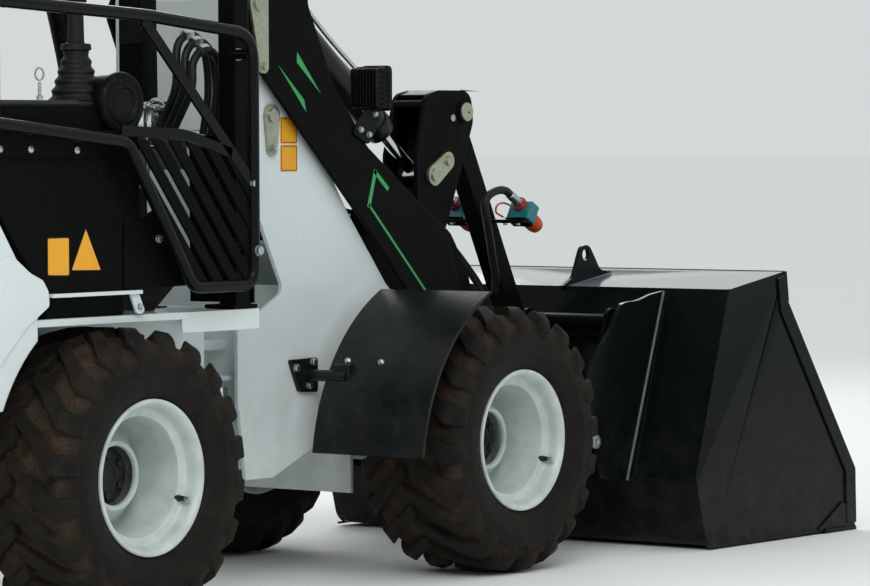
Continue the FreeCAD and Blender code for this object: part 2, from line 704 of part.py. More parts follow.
def mudguard():
    """Curved sheet over the front wheel with its bolted bracket, right hand."""
    inner = s.wheel_plane - s.fender_width / 2.0
    outer = s.wheel_plane + s.fender_width / 2.0
    ring = pin(FRONT, s.fender_radius, -outer, -inner).cut(pin(FRONT, s.fender_radius - 4, -outer - 1, -inner + 1))
    reach = s.fender_radius + 20
    sector = side_plate(FRONT, [(0, 0, 0), (-reach, 0, 0), (-reach, reach, 0),
                                (-reach * math.tan(math.radians(24)), reach, 0)], -outer - 1, -inner + 1)
    sheet_part = ring.common(sector)
    angle = math.radians(163)
    root = at(FRONT, (s.fender_radius - 2) * math.cos(angle), (s.fender_radius - 2) * math.sin(angle))
    arm = bar(side_point(at(root, -16, 0), -inner - 60), side_point(at(root, -16, 0), -s.mast_half - 9), 14)
    strap = side_plate(root, [(-24, -30, 0), (4, -30, 0), (10, 30, 0), (-24, 30, 0)], -inner - 70, -inner - 20)
    strap = strap.cut(pin(FRONT, s.fender_radius - 0.5, -outer, -inner + 30))
    plate = side_plate(root, [(-110, 30, 20), (8, 50, 20), (8, -60, 20), (-40, -40, 20)],
                       -s.mast_half - s.running_gap - 10, -s.mast_half - s.running_gap)
    return fuse([sheet_part, arm, strap, plate])


keep("mudguards", Part.makeCompound(both(mudguard())))


def lock_plate(centre, away, length, wide, narrow, y):
    """Pin keeper: tapered plate from the pin's head towards its bolt, outside the plane y on the right."""
    run = V(away[0], 0, away[1]).normalize() * length
    end = (centre[0] + run.x, centre[1] + run.z)
    big = pin(centre, wide, y - 8, y)
    small = pin(end, narrow, y - 8, y)
    side = V(-run.z, 0, run.x).normalize()
    corners = [V(centre[0], y, centre[1]) + side * wide, V(end[0], y, end[1]) + side * narrow,
               V(end[0], y, end[1]) - side * narrow, V(centre[0], y, centre[1]) - side * wide]
    web = Part.Face(Part.makePolygon(corners + corners[:1])).extrude(V(0, -8, 0))
    head = pin(centre, wide * 0.6, y - 13, y - 7)
    bolt = pin(end, narrow * 0.55, y - 14, y - 7)
    return fuse([big, small, web, head, bolt])


mast_lock = lock_plate(LIFT_BASE, (0, -1), 78, 27, 17, -s.mast_half - s.running_gap)
keep("mast_pin_locks", Part.makeCompound(both(mast_lock)))

# Boom: wide side plates at the mast, narrow nose plates to the bucket
BOOM_IN = s.boom_half - s.frame_plate
NOSE_OUT = s.nose_inner + s.frame_plate
TIP_BOSS = 42
TILT_EYE_HALF = 46.0


def boom():
    """Side plates, nose plates, the tubes and sheets between them, and the linkage pins they hold."""
    side_outline = [(-62, -20, 40), (-20, -110, 40), (15, -160, 40), (423, -540, 60), (583, -702, 80),
                    (665, -905, 60), (745, -905, 60), (790, -700, 80), (722, -538, 50), (612, -469, 60),
                    (414, -336, 60), (287, -189, 60), (190, 0, 60), (190, 185, 46), (97, 185, 46), (-20, 62, 50)]
    side = side_plate(BOOM, side_outline, BOOM_IN, s.boom_half,
                      [(0, 0, s.boom_pin_radius + s.running_gap)])
    nose_outline = [(540, -470, 30), (520, -590, 40), (640, -720, 60), (745, -930, 120),
                    (s.tip_dx - 95, s.tip_dz - 52, 20), (s.tip_dx - 30, s.tip_dz - 32, 5),
                    (s.tip_dx + 38, s.tip_dz + 18, 0), (s.tip_dx + 17, s.tip_dz + 86, 40), (1060, -850, 160),
                    (1000, -660, 90), (920, -545, 80), (720, -500, 80)]
    nose = side_plate(BOOM, nose_outline, s.nose_inner, NOSE_OUT)
    boss = pin(TIP, TIP_BOSS, s.nose_inner, NOSE_OUT)
    cross = [pin(at(BOOM, 705, -730), 38, -s.boom_half + 2, s.boom_half - 2),
             pin(at(BOOM, 640, -530), 24, -s.boom_half + 2, s.boom_half - 2)]
    belly = side_plate(BOOM, [(770, -890, 0), (1080, -1140, 0), (1070, -1152, 0), (760, -902, 0)],
                       -s.nose_inner - 2, s.nose_inner + 2)
    base_stub = pin(TILT_BASE, s.link_pin_radius, TILT_EYE_HALF + s.running_gap, s.boom_half - 2)
    crank_pin = pin(CRANK, 24, -NOSE_OUT - 4, NOSE_OUT + 4)
    tip_pin = pin(TIP, s.boom_pin_radius, -NOSE_OUT - 26, NOSE_OUT + 26)
    return fuse(both(side) + both(nose) + both(boss) + both(base_stub) + cross + [belly, crank_pin, tip_pin])


keep("boom", boom())
boom_lock = lock_plate(BOOM, (0.12, -1), 150, 33, 15, -s.boom_half - s.running_gap)
keep("boom_pin_locks", Part.makeCompound(both(boom_lock)))


def work_lamp():
    """Square work lamp with cooling ribs on a foot bolted to the boom's side plate, right hand."""
    x, z = at(BOOM, 345, -158)
    y = -s.boom_half + 6
    outside = -s.boom_half - s.running_gap
    body = box(x - 20, x + 42, y - 55, y + 55, z - 55, z + 55)
    ribs = [box(x - 46, x - 19, y - 50 + 14 * index, y - 45 + 14 * index, z - 44, z + 44) for index in range(8)]
    rim_part = box(x + 40, x + 50, y - 58, y + 58, z - 58, z + 58)
    foot = side_plate((x, z), [(-10, -50, 0), (24, -50, 0), (24, -100, 0), (-10, -150, 15), (-60, -110, 15)],
                      outside - 6, outside)
    return fuse([body, rim_part, foot] + ribs)


keep("work_lamps", Part.makeCompound(both(work_lamp())))


def bell_crank():
    """Two plates with the top sheet and the linkage pin at the top."""
    inside = s.crank_half - s.frame_plate
    outline = [(-45, -10, 40), (-30, 120, 30), (-34, 245, 40), (10, 400, 40), (60, 410, 20), (195, 410, 40),
               (205, 330, 45), (110, 110, 40), (45, -30, 40), (0, -46, 40)]
    plate = side_plate(CRANK, outline, inside, s.crank_half, [(0, 0, 24 + s.running_gap)])
    top = side_plate(CRANK, [(20, 398, 0), (62, 410, 0), (180, 410, 0), (180, 400, 0), (64, 400, 0), (24, 386, 0)],
                     -inside - 2, inside + 2)
    top_pin = pin(CRANK_TOP, s.link_pin_radius, -s.crank_half - 6, s.crank_half + 6)
    stay = pin(at(CRANK, 5, 375), 9, -inside - 2, inside + 2)
    eye_pin = pin(CRANK_EYE, s.link_pin_radius, -inside - 2, inside + 2)
    hub = pin(CRANK, 36, -inside - 1, inside + 1).cut(pin(CRANK, 24 + s.running_gap, -s.crank_half, s.crank_half))
    return fuse(both(plate) + [top, top_pin, eye_pin, stay, hub])


keep("bell_crank", bell_crank())
crank_lock = lock_plate(CRANK_EYE, (59, 37), 66, 27, 23, -s.crank_half - s.running_gap)
keep("bell_crank_locks", Part.makeCompound(both(crank_lock)))


def tilt_link():
    """Box link from the bell crank's top pin to the coupler, with a round eye at each end."""
    run = V(LINK_END[0] - CRANK_TOP[0], 0, LINK_END[1] - CRANK_TOP[1])
    length = run.Length
    half = 30
    arm = box(20, length - 20, -25, 25, -half, half)
    turn = FreeCAD.Rotation(V(1, 0, 0), run)
    arm.Placement = FreeCAD.Placement(side_point(CRANK_TOP, 0), turn)
    eyes = [pin(CRANK_TOP, 36, -38, 38), pin(LINK_END, 30, -32, 32)]
    shape = fuse([arm] + eyes)
    return shape.cut(pin(CRANK_TOP, s.link_pin_radius + s.running_gap, -60, 60))


keep("tilt_link", tilt_link())


def coupler_blocks():
    """Shelf on the front of the link with a hydraulic quick coupler on each side."""
    x, z = at(TIP, 8, 596)
    shelf = box(x - 22, x + 118, -148, 148, z - 10, z)
    shelf = shelf.cut(box(x - 30, x + 20, -25 - s.running_gap, 25 + s.running_gap, z - 20, z + 20))
    pieces = [shelf]
    for y in (-105, 105):
        pieces.append(box(x + 30, x + 100, y - 35, y + 35, z - 1, z + 75))
        pieces.append(bar(V(x + 99, y, z + 30), V(x + 150, y, z + 16), 21))
    return fuse(pieces)


keep("coupler_blocks", coupler_blocks())

# Bucket and its coupler frame
BACK_FOOT = (79.0, -39.0)
BACK_LEAN = 0.3257
HANGER_SIDE = 396.0


def back_line(dz, gap=0.0):
    """Distance ahead of the bucket pivot of the bucket's sloping back, less a gap square to it."""
    return BACK_FOOT[0] + (dz - BACK_FOOT[1]) * BACK_LEAN - gap * math.hypot(1.0, BACK_LEAN)


def quick_coupler():
    """Coupler frame: ears on the boom tip and on the link, two cross bars and the plates against the bucket."""
    ear_in = NOSE_OUT + 5
    outline = [(-45, -20, 30), (-30, 120, 60), (80, 372, 40), (150, 372, 30), (150, 250, 30), (74, 0, 20),
               (40, -48, 30), (-30, -48, 30)]
    low_ear = side_plate(TIP, outline, ear_in, ear_in + 14, [(0, 0, s.boom_pin_radius + s.running_gap)])
    top_ear = side_plate(TIP, [(90, 330, 20), (100, 385, 30), (150, 385, 20), (160, 290, 0), (110, 280, 0)],
                         38, 50)
    bar_top = pin(at(TIP, 135, 352), 22, 38, HANGER_SIDE - s.running_gap)
    bar_low = box(TIP[0] + 54, TIP[0] + 72, -312, 312, TIP[1] - 40, TIP[1] + 20)
    plate = side_plate(TIP, [(back_line(-36, s.running_gap), -36, 0), (50, -46, 20), (25, 60, 40), (60, 260, 80),
                             (108, 392, 30), (back_line(385, s.running_gap), 385, 0)], 300, 312)
    return fuse(both(low_ear) + both(top_ear) + both(plate) + both(bar_top) + [bar_low])


keep("quick_coupler", quick_coupler())


def bucket():
    """Open light goods bucket: folded shell, side plates, cutting edge, hooks and lifting eye."""
    t = s.bucket_sheet
    half = s.bucket_half
    floor = -TIP[1] + 8
    outer = [(235, 440, 0), (493, 479, 0), (503, 401, 0), (836, -57, 0), (841, floor, 0), (128, floor, 50),
             (79, -39, 40)]
    inner = [(235 + t, 440 - t, 0), (493 + 5, 479 - t, 0), (520, 401, 0), (850, -57, 0), (850, floor + t, 0),
             (128 + 6, floor + t, 44), (79 + t, -39, 34)]
    shell = side_plate(TIP, outer, -half, half)
    hollow = side_plate(TIP, inner, -half + t, half - t)
    edge = side_plate(TIP, [(680, floor - 8, 0), (841, floor - 8, 0), (841, floor + 2, 0), (690, floor + 6, 0)],
                      -half - 4, half + 4)
    rim_top = side_plate(TIP, [(488, 478, 0), (500, 480, 0), (511, 402, 0), (499, 396, 0)], -half - 3, half + 3)
    eye = side_plate(TIP, [(215, 440, 0), (262, 462, 30), (300, 545, 28), (335, 545, 28), (385, 478, 30),
                           (450, 470, 0), (440, 460, 0), (235, 430, 0)], -92, -80, [(318, 520, 15)])
    hanger = side_plate(TIP, [(back_line(-30) + 2, -30, 0), (62, -20, 20), (86, 120, 60), (96, 330, 20),
                              (112, 392, 25), (160, 400, 20), (back_line(380) + 2, 380, 0)],
                        HANGER_SIDE, HANGER_SIDE + 12)
    return fuse([shell.cut(hollow), edge, rim_top, eye] + both(hanger))


keep("bucket", bucket())


# Cylinders: each barrel with its base eye, each rod with the eye that stays clear of its pin
def barrel(base, toward, length, radius, eye_half, bore_radius, pinned):
    """Cylinder barrel from its base eye with a bore for the rod; a pinned eye is bored for its pin."""
    run = V(toward[0] - base[0], 0, toward[1] - base[1]).normalize()
    start = side_point(base, 0) + run * 30
    end = side_point(base, 0) + run * length
    solid = fuse([bar(start, end, radius), pin(base, 34, -eye_half, eye_half)])
    solid = solid.cut(bar(side_point(base, 0) + run * 60, end + run, bore_radius + s.running_gap))
    if pinned:
        solid = solid.cut(pin(base, s.link_pin_radius + s.running_gap, -eye_half - 1, eye_half + 1))
    return solid


def rod(base, eye_centre, start_at, radius, eye_radius, eye_half, pinned):
    """Piston rod from inside its barrel to its eye; a pinned eye is bored for its pin."""
    run = V(eye_centre[0] - base[0], 0, eye_centre[1] - base[1]).normalize()
    shaft = bar(side_point(base, 0) + run * start_at, side_point(eye_centre, 0), radius)
    solid = fuse([shaft, pin(eye_centre, eye_radius, -eye_half, eye_half)])
    if pinned:
        solid = solid.cut(pin(eye_centre, s.link_pin_radius + s.running_gap, -eye_half - 1, eye_half + 1))
    return solid


keep("lift_barrel", barrel(LIFT_BASE, LIFT_EYE, 490, s.barrel_radius + 3, 50, s.rod_radius + 2, True))
keep("lift_rod", rod(LIFT_BASE, LIFT_EYE, 70, s.rod_radius + 2, 34, 40, False))
keep("tilt_barrel", barrel(TILT_BASE, CRANK_EYE, 740, s.barrel_radius, TILT_EYE_HALF, s.rod_radius, False))
keep("tilt_rod", rod(TILT_BASE, CRANK_EYE, 200, s.rod_radius, 32, 34, True))


def steer_bar(start, end, radius):
    """Level round bar beside the articulation on the right."""
    return bar(V(start, -STEER_SIDE, STEER_HEIGHT), V(end, -STEER_SIDE, STEER_HEIGHT), radius)


def steer_eye(x, radius, half):
    """Upright eye of the steering cylinder."""
    return Part.makeCylinder(radius, 2 * half, V(x, -STEER_SIDE, STEER_HEIGHT - half))


steer_hollow = steer_bar(STEER_BASE[0] + 50, STEER_BASE[0] + 300, s.steer_rod_radius + s.running_gap)
steer_tube = fuse([steer_bar(STEER_BASE[0] + 36, STEER_BASE[0] + 260, s.steer_barrel_radius),
                   steer_bar(STEER_BASE[0] + 15, STEER_BASE[0] + 40, 16), steer_eye(STEER_BASE[0], 24, 18)])
steer_tube = steer_tube.cut(steer_hollow).cut(steer_eye(STEER_BASE[0], 12 + s.running_gap, 40))
keep("steer_barrel", steer_tube)
keep("steer_rod", fuse([steer_bar(STEER_BASE[0] + 130, STEER_EYE[0], s.steer_rod_radius),
                        steer_eye(STEER_EYE[0], 18, 16)]))

doc.recompute()
os.makedirs("parts", exist_ok=True)
for obj in doc.Objects:
    if "Invalid" in obj.State or "Error" in obj.State:
        raise RuntimeError("failed: " + obj.Label)
for node in nodes:
    if node.Shape.isNull() or not node.Shape.isValid():
        raise RuntimeError("bad shape: " + node.Label)
total = Part.makeCompound([node.Shape for node in nodes])
for node in nodes:
    print(node.Label, len(node.Shape.Solids), "solids", round(node.Shape.Volume / 1e6, 3), "dm3")
    node.Shape.exportStep("parts/%s.step" % node.Label)
print(len(nodes), "nodes", total.BoundBox)
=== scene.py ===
import json
import logging
import math
from dataclasses import dataclass
from enum import Enum
from typing import Iterable, Sequence

import bmesh
import bpy
import mathutils
import numpy as np
from numpy.typing import NDArray
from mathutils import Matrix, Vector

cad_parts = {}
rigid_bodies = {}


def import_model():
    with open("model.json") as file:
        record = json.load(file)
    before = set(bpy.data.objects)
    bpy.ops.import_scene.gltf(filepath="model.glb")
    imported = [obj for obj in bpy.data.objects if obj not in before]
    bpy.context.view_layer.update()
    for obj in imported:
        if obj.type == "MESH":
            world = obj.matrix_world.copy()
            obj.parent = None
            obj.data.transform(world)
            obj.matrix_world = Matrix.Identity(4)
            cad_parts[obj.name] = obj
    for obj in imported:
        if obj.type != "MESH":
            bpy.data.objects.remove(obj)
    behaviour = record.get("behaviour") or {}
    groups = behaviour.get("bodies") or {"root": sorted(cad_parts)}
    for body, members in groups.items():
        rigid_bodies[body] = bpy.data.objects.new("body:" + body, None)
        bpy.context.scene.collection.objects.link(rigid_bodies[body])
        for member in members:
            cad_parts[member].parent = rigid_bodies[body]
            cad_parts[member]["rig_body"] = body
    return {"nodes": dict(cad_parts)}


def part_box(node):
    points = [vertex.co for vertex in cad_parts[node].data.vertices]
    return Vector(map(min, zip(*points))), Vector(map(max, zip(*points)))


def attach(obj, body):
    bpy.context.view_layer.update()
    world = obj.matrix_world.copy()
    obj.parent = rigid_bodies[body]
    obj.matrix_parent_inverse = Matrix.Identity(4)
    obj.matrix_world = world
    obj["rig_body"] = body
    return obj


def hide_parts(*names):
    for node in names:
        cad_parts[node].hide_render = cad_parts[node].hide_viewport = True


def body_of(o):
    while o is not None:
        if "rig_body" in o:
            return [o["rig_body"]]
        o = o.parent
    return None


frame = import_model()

# Compact articulated wheel loader: farm tyres, painted frames, boom, linkage, bucket and the operator's place.
# Metres in the CAD frame: X forward, Y to the left, Z up.

Points = NDArray[np.float64]
Socket = bpy.types.NodeSocket
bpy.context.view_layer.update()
MM = 0.001
LOG = logging.getLogger("loader")

REAR_AXLE = np.array((-1.0355, 0.0, 0.322))
FRONT_AXLE = np.array((0.3145, 0.0, 0.322))
BOOM_PIVOT = (-0.2785, 1.366)
BUCKET_PIVOT = (0.8945, 0.220)
CRANK_PIVOT = (0.5645, 0.760)
FLOOR_TOP = 0.668

# Radius in millimetres at which a turned profile closes on its axis
TIP = 0.01

# Directions of u, v and the thickness of a plate drawn from the side, from above and from the end
SIDE_VIEW = ((1, 0, 0), (0, 0, 1), (0, 1, 0))
PLAN_VIEW = ((1, 0, 0), (0, 1, 0), (0, 0, 1))
END_VIEW = ((0, 1, 0), (0, 0, 1), (1, 0, 0))

# Weights shared by all finishes
NOISE_ROUGHNESS = 0.55
COAT_ROUGHNESS = 0.12
DULLED_BY_SOIL = 0.6


class Side(Enum):
    """Side of the machine, as the sign of Y."""

    RIGHT = -1
    LEFT = 1


class Edge(Enum):
    """How a mesh is shaded across its corners, as the steepest angle in degrees that stays smooth."""

    CRISP = 22
    MOULDED = 40
    ROUND = 80


def linear(code: str) -> tuple[float, float, float, float]:
    """Linear RGBA of an sRGB hex colour.

    Args:
        code: Colour such as "#aabbcc".

    Returns:
        Red, green, blue and an alpha of one.
    """
    parts = np.array([int(code[i:i + 2], 16) for i in (1, 3, 5)]) / 255.0
    low = parts / 12.92
    high = ((parts + 0.055) / 1.055) ** 2.4
    return (*np.where(parts <= 0.04045, low, high).tolist(), 1.0)


def put(tree: bpy.types.NodeTree, kind: str, settings: dict[str, object], inputs: dict[str | int, object]
        ) -> bpy.types.Node:
    """Adds one node with its settings, values and links.

    Args:
        tree: Node tree that takes the node.
        kind: Blender's name of the node type.
        settings: Attributes of the node.
        inputs: Values or linked sockets by input name or number.

    Returns:
        The new node.
    """
    made = tree.nodes.new(kind)
    for key, value in settings.items():
        setattr(made, key, value)
    for key, value in inputs.items():
        if isinstance(value, bpy.types.NodeSocket):
            tree.links.new(value, made.inputs[key])
        else:
            made.inputs[key].default_value = value
    return made


@dataclass(frozen=True)
class Finish:
    """A painted, plated or moulded surface with its mottling, grain and settled dust.

    Two broad noises shift the base colour and the gloss, a fine noise raises the grain, and dust grows towards
    the ground by the height of the point times a broken noise.
    """

    name: str
    base: str
    shade: str
    rough: float
    metal: float = 0.0
    coat: float = 0.0
    ior: float = 1.5
    cloud_mm: float = 220.0
    cloud: float = 0.35
    grain_mm: float = 1.6
    grain: float = 0.05
    dust: str = "#8c8371"
    dust_top: float = 0.55
    dust_most: float = 0.30
    speck: float = 0.12

    def coordinates(self, tree: bpy.types.NodeTree) -> Socket:
        """The piece's own coordinates in metres."""
        return put(tree, "ShaderNodeTexCoord", {}, {}).outputs["Object"]

    def noise(self, tree: bpy.types.NodeTree, where: Socket, size_mm: float, detail: float = 3.0) -> Socket:
        """Noise value whose features are about the given size."""
        return put(tree, "ShaderNodeTexNoise", {}, {"Vector": where, "Scale": 1000.0 / size_mm,
                                                    "Detail": detail,
                                                    "Roughness": NOISE_ROUGHNESS}).outputs[0]

    def ramp(self, tree: bpy.types.NodeTree, value: Socket, low: float, high: float, start: float = 0.0,
             end: float = 1.0) -> Socket:
        """Value carried from one range to another and clamped there."""
        return put(tree, "ShaderNodeMapRange", {}, {0: value, 1: low, 2: high, 3: start, 4: end}).outputs[0]

    def product(self, tree: bpy.types.NodeTree, one: Socket, other: Socket | float) -> Socket:
        """Product of two values."""
        return put(tree, "ShaderNodeMath", {"operation": "MULTIPLY"}, {0: one, 1: other}).outputs[0]

    def mix(self, tree: bpy.types.NodeTree, share: Socket, first: object, second: object) -> Socket:
        """Colour between two colours or colour sockets."""
        node = put(tree, "ShaderNodeMix", {"data_type": "RGBA"}, {0: share})
        for index, colour in ((6, first), (7, second)):
            if isinstance(colour, bpy.types.NodeSocket):
                tree.links.new(colour, node.inputs[index])
            else:
                node.inputs[index].default_value = linear(str(colour))
        return node.outputs[2]

    def soil(self, tree: bpy.types.NodeTree, where: Socket) -> Socket:
        """Share of settled dust: height above the ground turned round, times a broken noise."""
        height = put(tree, "ShaderNodeSeparateXYZ", {}, {0: where}).outputs[2]
        low = self.ramp(tree, height, 0.0, self.dust_top, 1.0, 0.0)
        patches = self.ramp(tree, self.noise(tree, where, 60.0, 6.0), 0.38, 0.70)
        return self.product(tree, self.product(tree, low, patches), self.dust_most)

    def relief(self, tree: bpy.types.NodeTree, where: Socket) -> Socket:
        """Height of the grain: a fine noise, the orange peel of sprayed paint."""
        return self.noise(tree, where, self.grain_mm, 2.0)

    def colour(self, tree: bpy.types.NodeTree, where: Socket) -> Socket:
        """Base colour clouded towards its shade."""
        clouds = self.ramp(tree, self.noise(tree, where, self.cloud_mm, 4.0), 0.35, 0.70, 0.0, self.cloud)
        specks = self.ramp(tree, self.noise(tree, where, 9.0, 5.0), 0.60, 0.75, 0.0, self.speck)
        first = self.mix(tree, clouds, self.base, self.shade)
        return self.mix(tree, specks, first, self.dust)

    def gloss(self, tree: bpy.types.NodeTree, where: Socket) -> Socket:
        """Roughness, clouded a little to each side of its value."""
        clouds = self.noise(tree, where, self.cloud_mm * 0.4, 5.0)
        return self.ramp(tree, clouds, 0.3, 0.7, self.rough * 0.85, min(1.0, self.rough * 1.25))

    def varnish(self, tree: bpy.types.NodeTree) -> Socket | float:
        """Weight of the clear coat."""
        return self.coat

    def make(self) -> bpy.types.Material:
        """The finish as a material, made once.

        Returns:
            The material of this finish.
        """
        known = bpy.data.materials.get(self.name)
        if known:
            return known
        material = bpy.data.materials.new(self.name)
        material.use_nodes = True
        tree = material.node_tree
        tree.nodes.clear()
        where = self.coordinates(tree)
        soil = self.soil(tree, where)
        colour = self.mix(tree, soil, self.colour(tree, where), self.dust)
        gloss = self.gloss(tree, where)
        dull = put(tree, "ShaderNodeMath", {"operation": "ADD", "use_clamp": True},
                   {0: gloss, 1: self.product(tree, soil, DULLED_BY_SOIL)}).outputs[0]
        bump = put(tree, "ShaderNodeBump", {}, {"Strength": min(1.0, self.grain * 4.0),
                                                "Distance": self.grain_mm * MM * 0.25,
                                                "Height": self.relief(tree, where)})
        shader = put(tree, "ShaderNodeBsdfPrincipled", {}, {"Base Color": colour, "Roughness": dull,
                                                            "Metallic": self.metal,
                                                            "Normal": bump.outputs[0],
                                                            "Coat Weight": self.varnish(tree),
                                                            "Coat Roughness": COAT_ROUGHNESS,
                                                            "IOR": self.ior})
        put(tree, "ShaderNodeOutputMaterial", {}, {0: shader.outputs[0]})
        return material


@dataclass(frozen=True)
class TyreRubber(Finish):
    """Vulcanised farm tyre rubber: deep matt black with dried soil held in the valleys between its lugs.

    The piece's own "soil" attribute says where the soil stays, and a broken noise decides how much.
    """

    def soil(self, tree: bpy.types.NodeTree, where: Socket) -> Socket:
        """Share of dried soil: the painted attribute times patches and fine crumbs."""
        held = put(tree, "ShaderNodeAttribute", {"attribute_name": "soil"}, {}).outputs["Fac"]
        patches = self.ramp(tree, self.noise(tree, where, 70.0, 6.0), 0.34, 0.62, 0.15, 1.0)
        crumbs = self.ramp(tree, self.noise(tree, where, 7.0, 3.0), 0.30, 0.60, 0.35, 1.0)
        return self.product(tree, held, self.product(tree, patches, crumbs))


@dataclass(frozen=True)
class SeatVinyl(Finish):
    """Seat vinyl embossed with a leather grain: small soft cells with creases between them."""

    def relief(self, tree: bpy.types.NodeTree, where: Socket) -> Socket:
        """Height of the grain: distance to the edge of cells two millimetres wide."""
        cells = put(tree, "ShaderNodeTexVoronoi", {"feature": "DISTANCE_TO_EDGE"},
                    {"Vector": where, "Scale": 1000.0 / self.grain_mm})
        return self.ramp(tree, cells.outputs["Distance"], 0.0, 0.25)


@dataclass(frozen=True)
class LevelEnamel(Finish):
    """Stove enamel, smooth as a mirror on level sheets and with its orange peel on upright ones. Level sheets also
    get a paler base colour, a painted reflection of the sky.
    """

    tilted: float = 0.90
    level: float = 0.98
    polish: float = 0.2
    # Share and colour of the painted sky reflection laid on level sheets
    sky_sheen: float = 0.55
    sky_sheen_colour: str = "#aab4b7"

    def by_level(self, tree: bpy.types.NodeTree, elsewhere: float, on_top: float) -> Socket:
        """Value that changes where the surface looks up: the normal's Z carried from one value to the other."""
        facing = put(tree, "ShaderNodeTexCoord", {}, {}).outputs["Normal"]
        up = put(tree, "ShaderNodeSeparateXYZ", {}, {0: facing}).outputs[2]
        return self.ramp(tree, up, self.tilted, self.level, elsewhere, on_top)

    def gloss(self, tree: bpy.types.NodeTree, where: Socket) -> Socket:
        """Roughness that falls to a fifth where the surface looks up."""
        return self.product(tree, super().gloss(tree, where), self.by_level(tree, 1.0, self.polish))

    def colour(self, tree: bpy.types.NodeTree, where: Socket) -> Socket:
        """Base colour, paler where the surface looks up: a painted reflection of the sky on level sheets."""
        sky_sheen = self.by_level(tree, 0.0, self.sky_sheen)
        return self.mix(tree, sky_sheen, super().colour(tree, where), self.sky_sheen_colour)

    def varnish(self, tree: bpy.types.NodeTree) -> Socket | float:
        """Clear coat that only the level sheets keep, where the enamel ran smooth."""
        return self.by_level(tree, 0.0, 1.0)


@dataclass(frozen=True)
class BrushedMetal(Finish):
    """Machined or ground metal: fine turning marks drawn along the piece as stretched noise."""

    def relief(self, tree: bpy.types.NodeTree, where: Socket) -> Socket:
        """Height of the marks: noise stretched forty times along X and Z."""
        turned = put(tree, "ShaderNodeMapping", {}, {"Vector": where, "Scale": (1.0, 40.0, 1.0)}).outputs[0]
        return self.noise(tree, turned, self.grain_mm * 12.0, 2.0)


# Powder coat over sheet steel: even, slightly orange peeled gloss that clouds softly under the sky
WHITE = Finish("white_powder_coated_steel", "#dae3e3", "#cdd8d8", 0.30, coat=0.25, dust="#a79f8c",
               dust_top=0.75, dust_most=0.35, speck=0.04, grain_mm=2.2)
# Rim enamel: thicker and glossier than the frame's coat, greyed by road dust
RIM_WHITE = Finish("white_enamelled_wheel_steel", "#cbd5d3", "#b4bfbc", 0.34, coat=0.2, dust="#77746a",
                   dust_top=2.0, dust_most=0.34, speck=0.10, cloud_mm=70.0, cloud=0.6)
# Black powder coat on plate: deep, with a thin sheen that shows the sky only at a low angle
BLACK = Finish("black_powder_coated_steel", "#080a0a", "#0c0f0f", 0.34, ior=1.12, cloud=0.6, speck=0.03,
               dust="#4a4740", dust_most=0.16)
# Black paint on the thin mudguard sheet: smoother and glossier, with a wiped dusty film
GUARD_BLACK = Finish("black_painted_mudguard_sheet", "#0d1213", "#131a1b", 0.26, ior=1.3, cloud=0.7,
                     cloud_mm=160.0, speck=0.08, dust="#5d5a50", dust_top=0.9, dust_most=0.16)
# Bucket paint: blue black stove enamel, glossy and lightly scuffed, its level sheets painted paler as a reflection of
# the sky
BUCKET_BLACK = LevelEnamel("black_stove_enamelled_bucket", "#0a0e0f", "#101516", 0.20, ior=1.18, cloud=0.6,
                      cloud_mm=300.0, speck=0.06, dust="#4c4a42", dust_top=0.45, dust_most=0.20)
# Cast iron ballast under thick paint: coarse grain
CAST_BLACK = Finish("painted_cast_iron", "#0e1011", "#141718", 0.48, ior=1.3, grain_mm=5.0, grain=0.2)
# Textured black paint of consoles and dash: fine leather-like orange peel that breaks up reflections
TEXTURED_BLACK = Finish("textured_black_painted_panel", "#080a09", "#0c0f0e", 0.46, ior=1.12, grain_mm=2.6,
                        grain=0.12, cloud=0.6, cloud_mm=400.0, speck=0.04)
# Injection moulded plastic: even satin with a fine spark eroded grain
PLASTIC = Finish("black_moulded_polypropylene", "#0b0d0e", "#101314", 0.44, ior=1.2, grain_mm=1.4,
                 grain=0.14)
# Moulded nitrile rubber of boots and grips: softer, a little grey
RUBBER = Finish("black_moulded_nitrile_rubber", "#111314", "#181b1c", 0.52, ior=1.36, grain_mm=1.8,
                grain=0.10)
# Hydraulic hose: rubber cover with a cloth wrapped print that catches dust
HOSE = Finish("wrapped_hydraulic_hose_rubber", "#0f1112", "#171a1b", 0.46, ior=1.36, grain_mm=1.3,
              grain=0.25, speck=0.08)
# Farm tyre rubber, used and dried: brownish soil in its tread
TYRE = TyreRubber("vulcanised_farm_tyre_rubber", "#0d0f0e", "#131514", 0.54, ior=1.2, cloud_mm=45.0,
                  cloud=0.7, grain_mm=2.4, grain=0.12, dust="#4a3d31", speck=0.14)
# Hard chrome on ground steel: near mirror with faint grinding marks
CHROME = BrushedMetal("hard_chromed_piston_rod", "#c9cdce", "#b9bec0", 0.10, metal=1.0, grain_mm=0.5,
                      grain=0.02, dust="#7d786c", speck=0.02, cloud_mm=80.0)
# Zinc plate with a pale green yellow passivation: soft mottled lustre
ZINC = Finish("yellow_green_passivated_zinc_steel", "#aeb3a0", "#9aa08a", 0.36, metal=0.9, grain_mm=3.0,
              grain=0.05, cloud_mm=18.0, cloud=0.8, speck=0.05)
# Bright zinc on bolts and fittings
BRIGHT_ZINC = Finish("bright_zinc_plated_steel", "#b9bdbf", "#9ea4a7", 0.30, metal=1.0, grain_mm=1.5,
                     grain=0.04, cloud_mm=12.0, speck=0.06)
# Bent guard tube: thick glossy black whose upper side carries a long pale highlight
RAIL_BLACK = Finish("glossy_black_painted_guard_tube", "#080b0c", "#0c1012", 0.22, ior=1.24, cloud=0.5,
                    grain=0.02, speck=0.03)
# Cylinder paint: thin black over drawn tube
CYLINDER_BLACK = Finish("black_painted_drawn_tube", "#0d0f10", "#161a1b", 0.28, ior=1.34, cloud_mm=60.0)
# Hydraulic pipe: bright zinc tube with clear passivation
PIPE = Finish("zinc_plated_hydraulic_pipe", "#c3c6c4", "#a5a99f", 0.22, metal=1.0, grain_mm=1.0,
              cloud_mm=20.0)
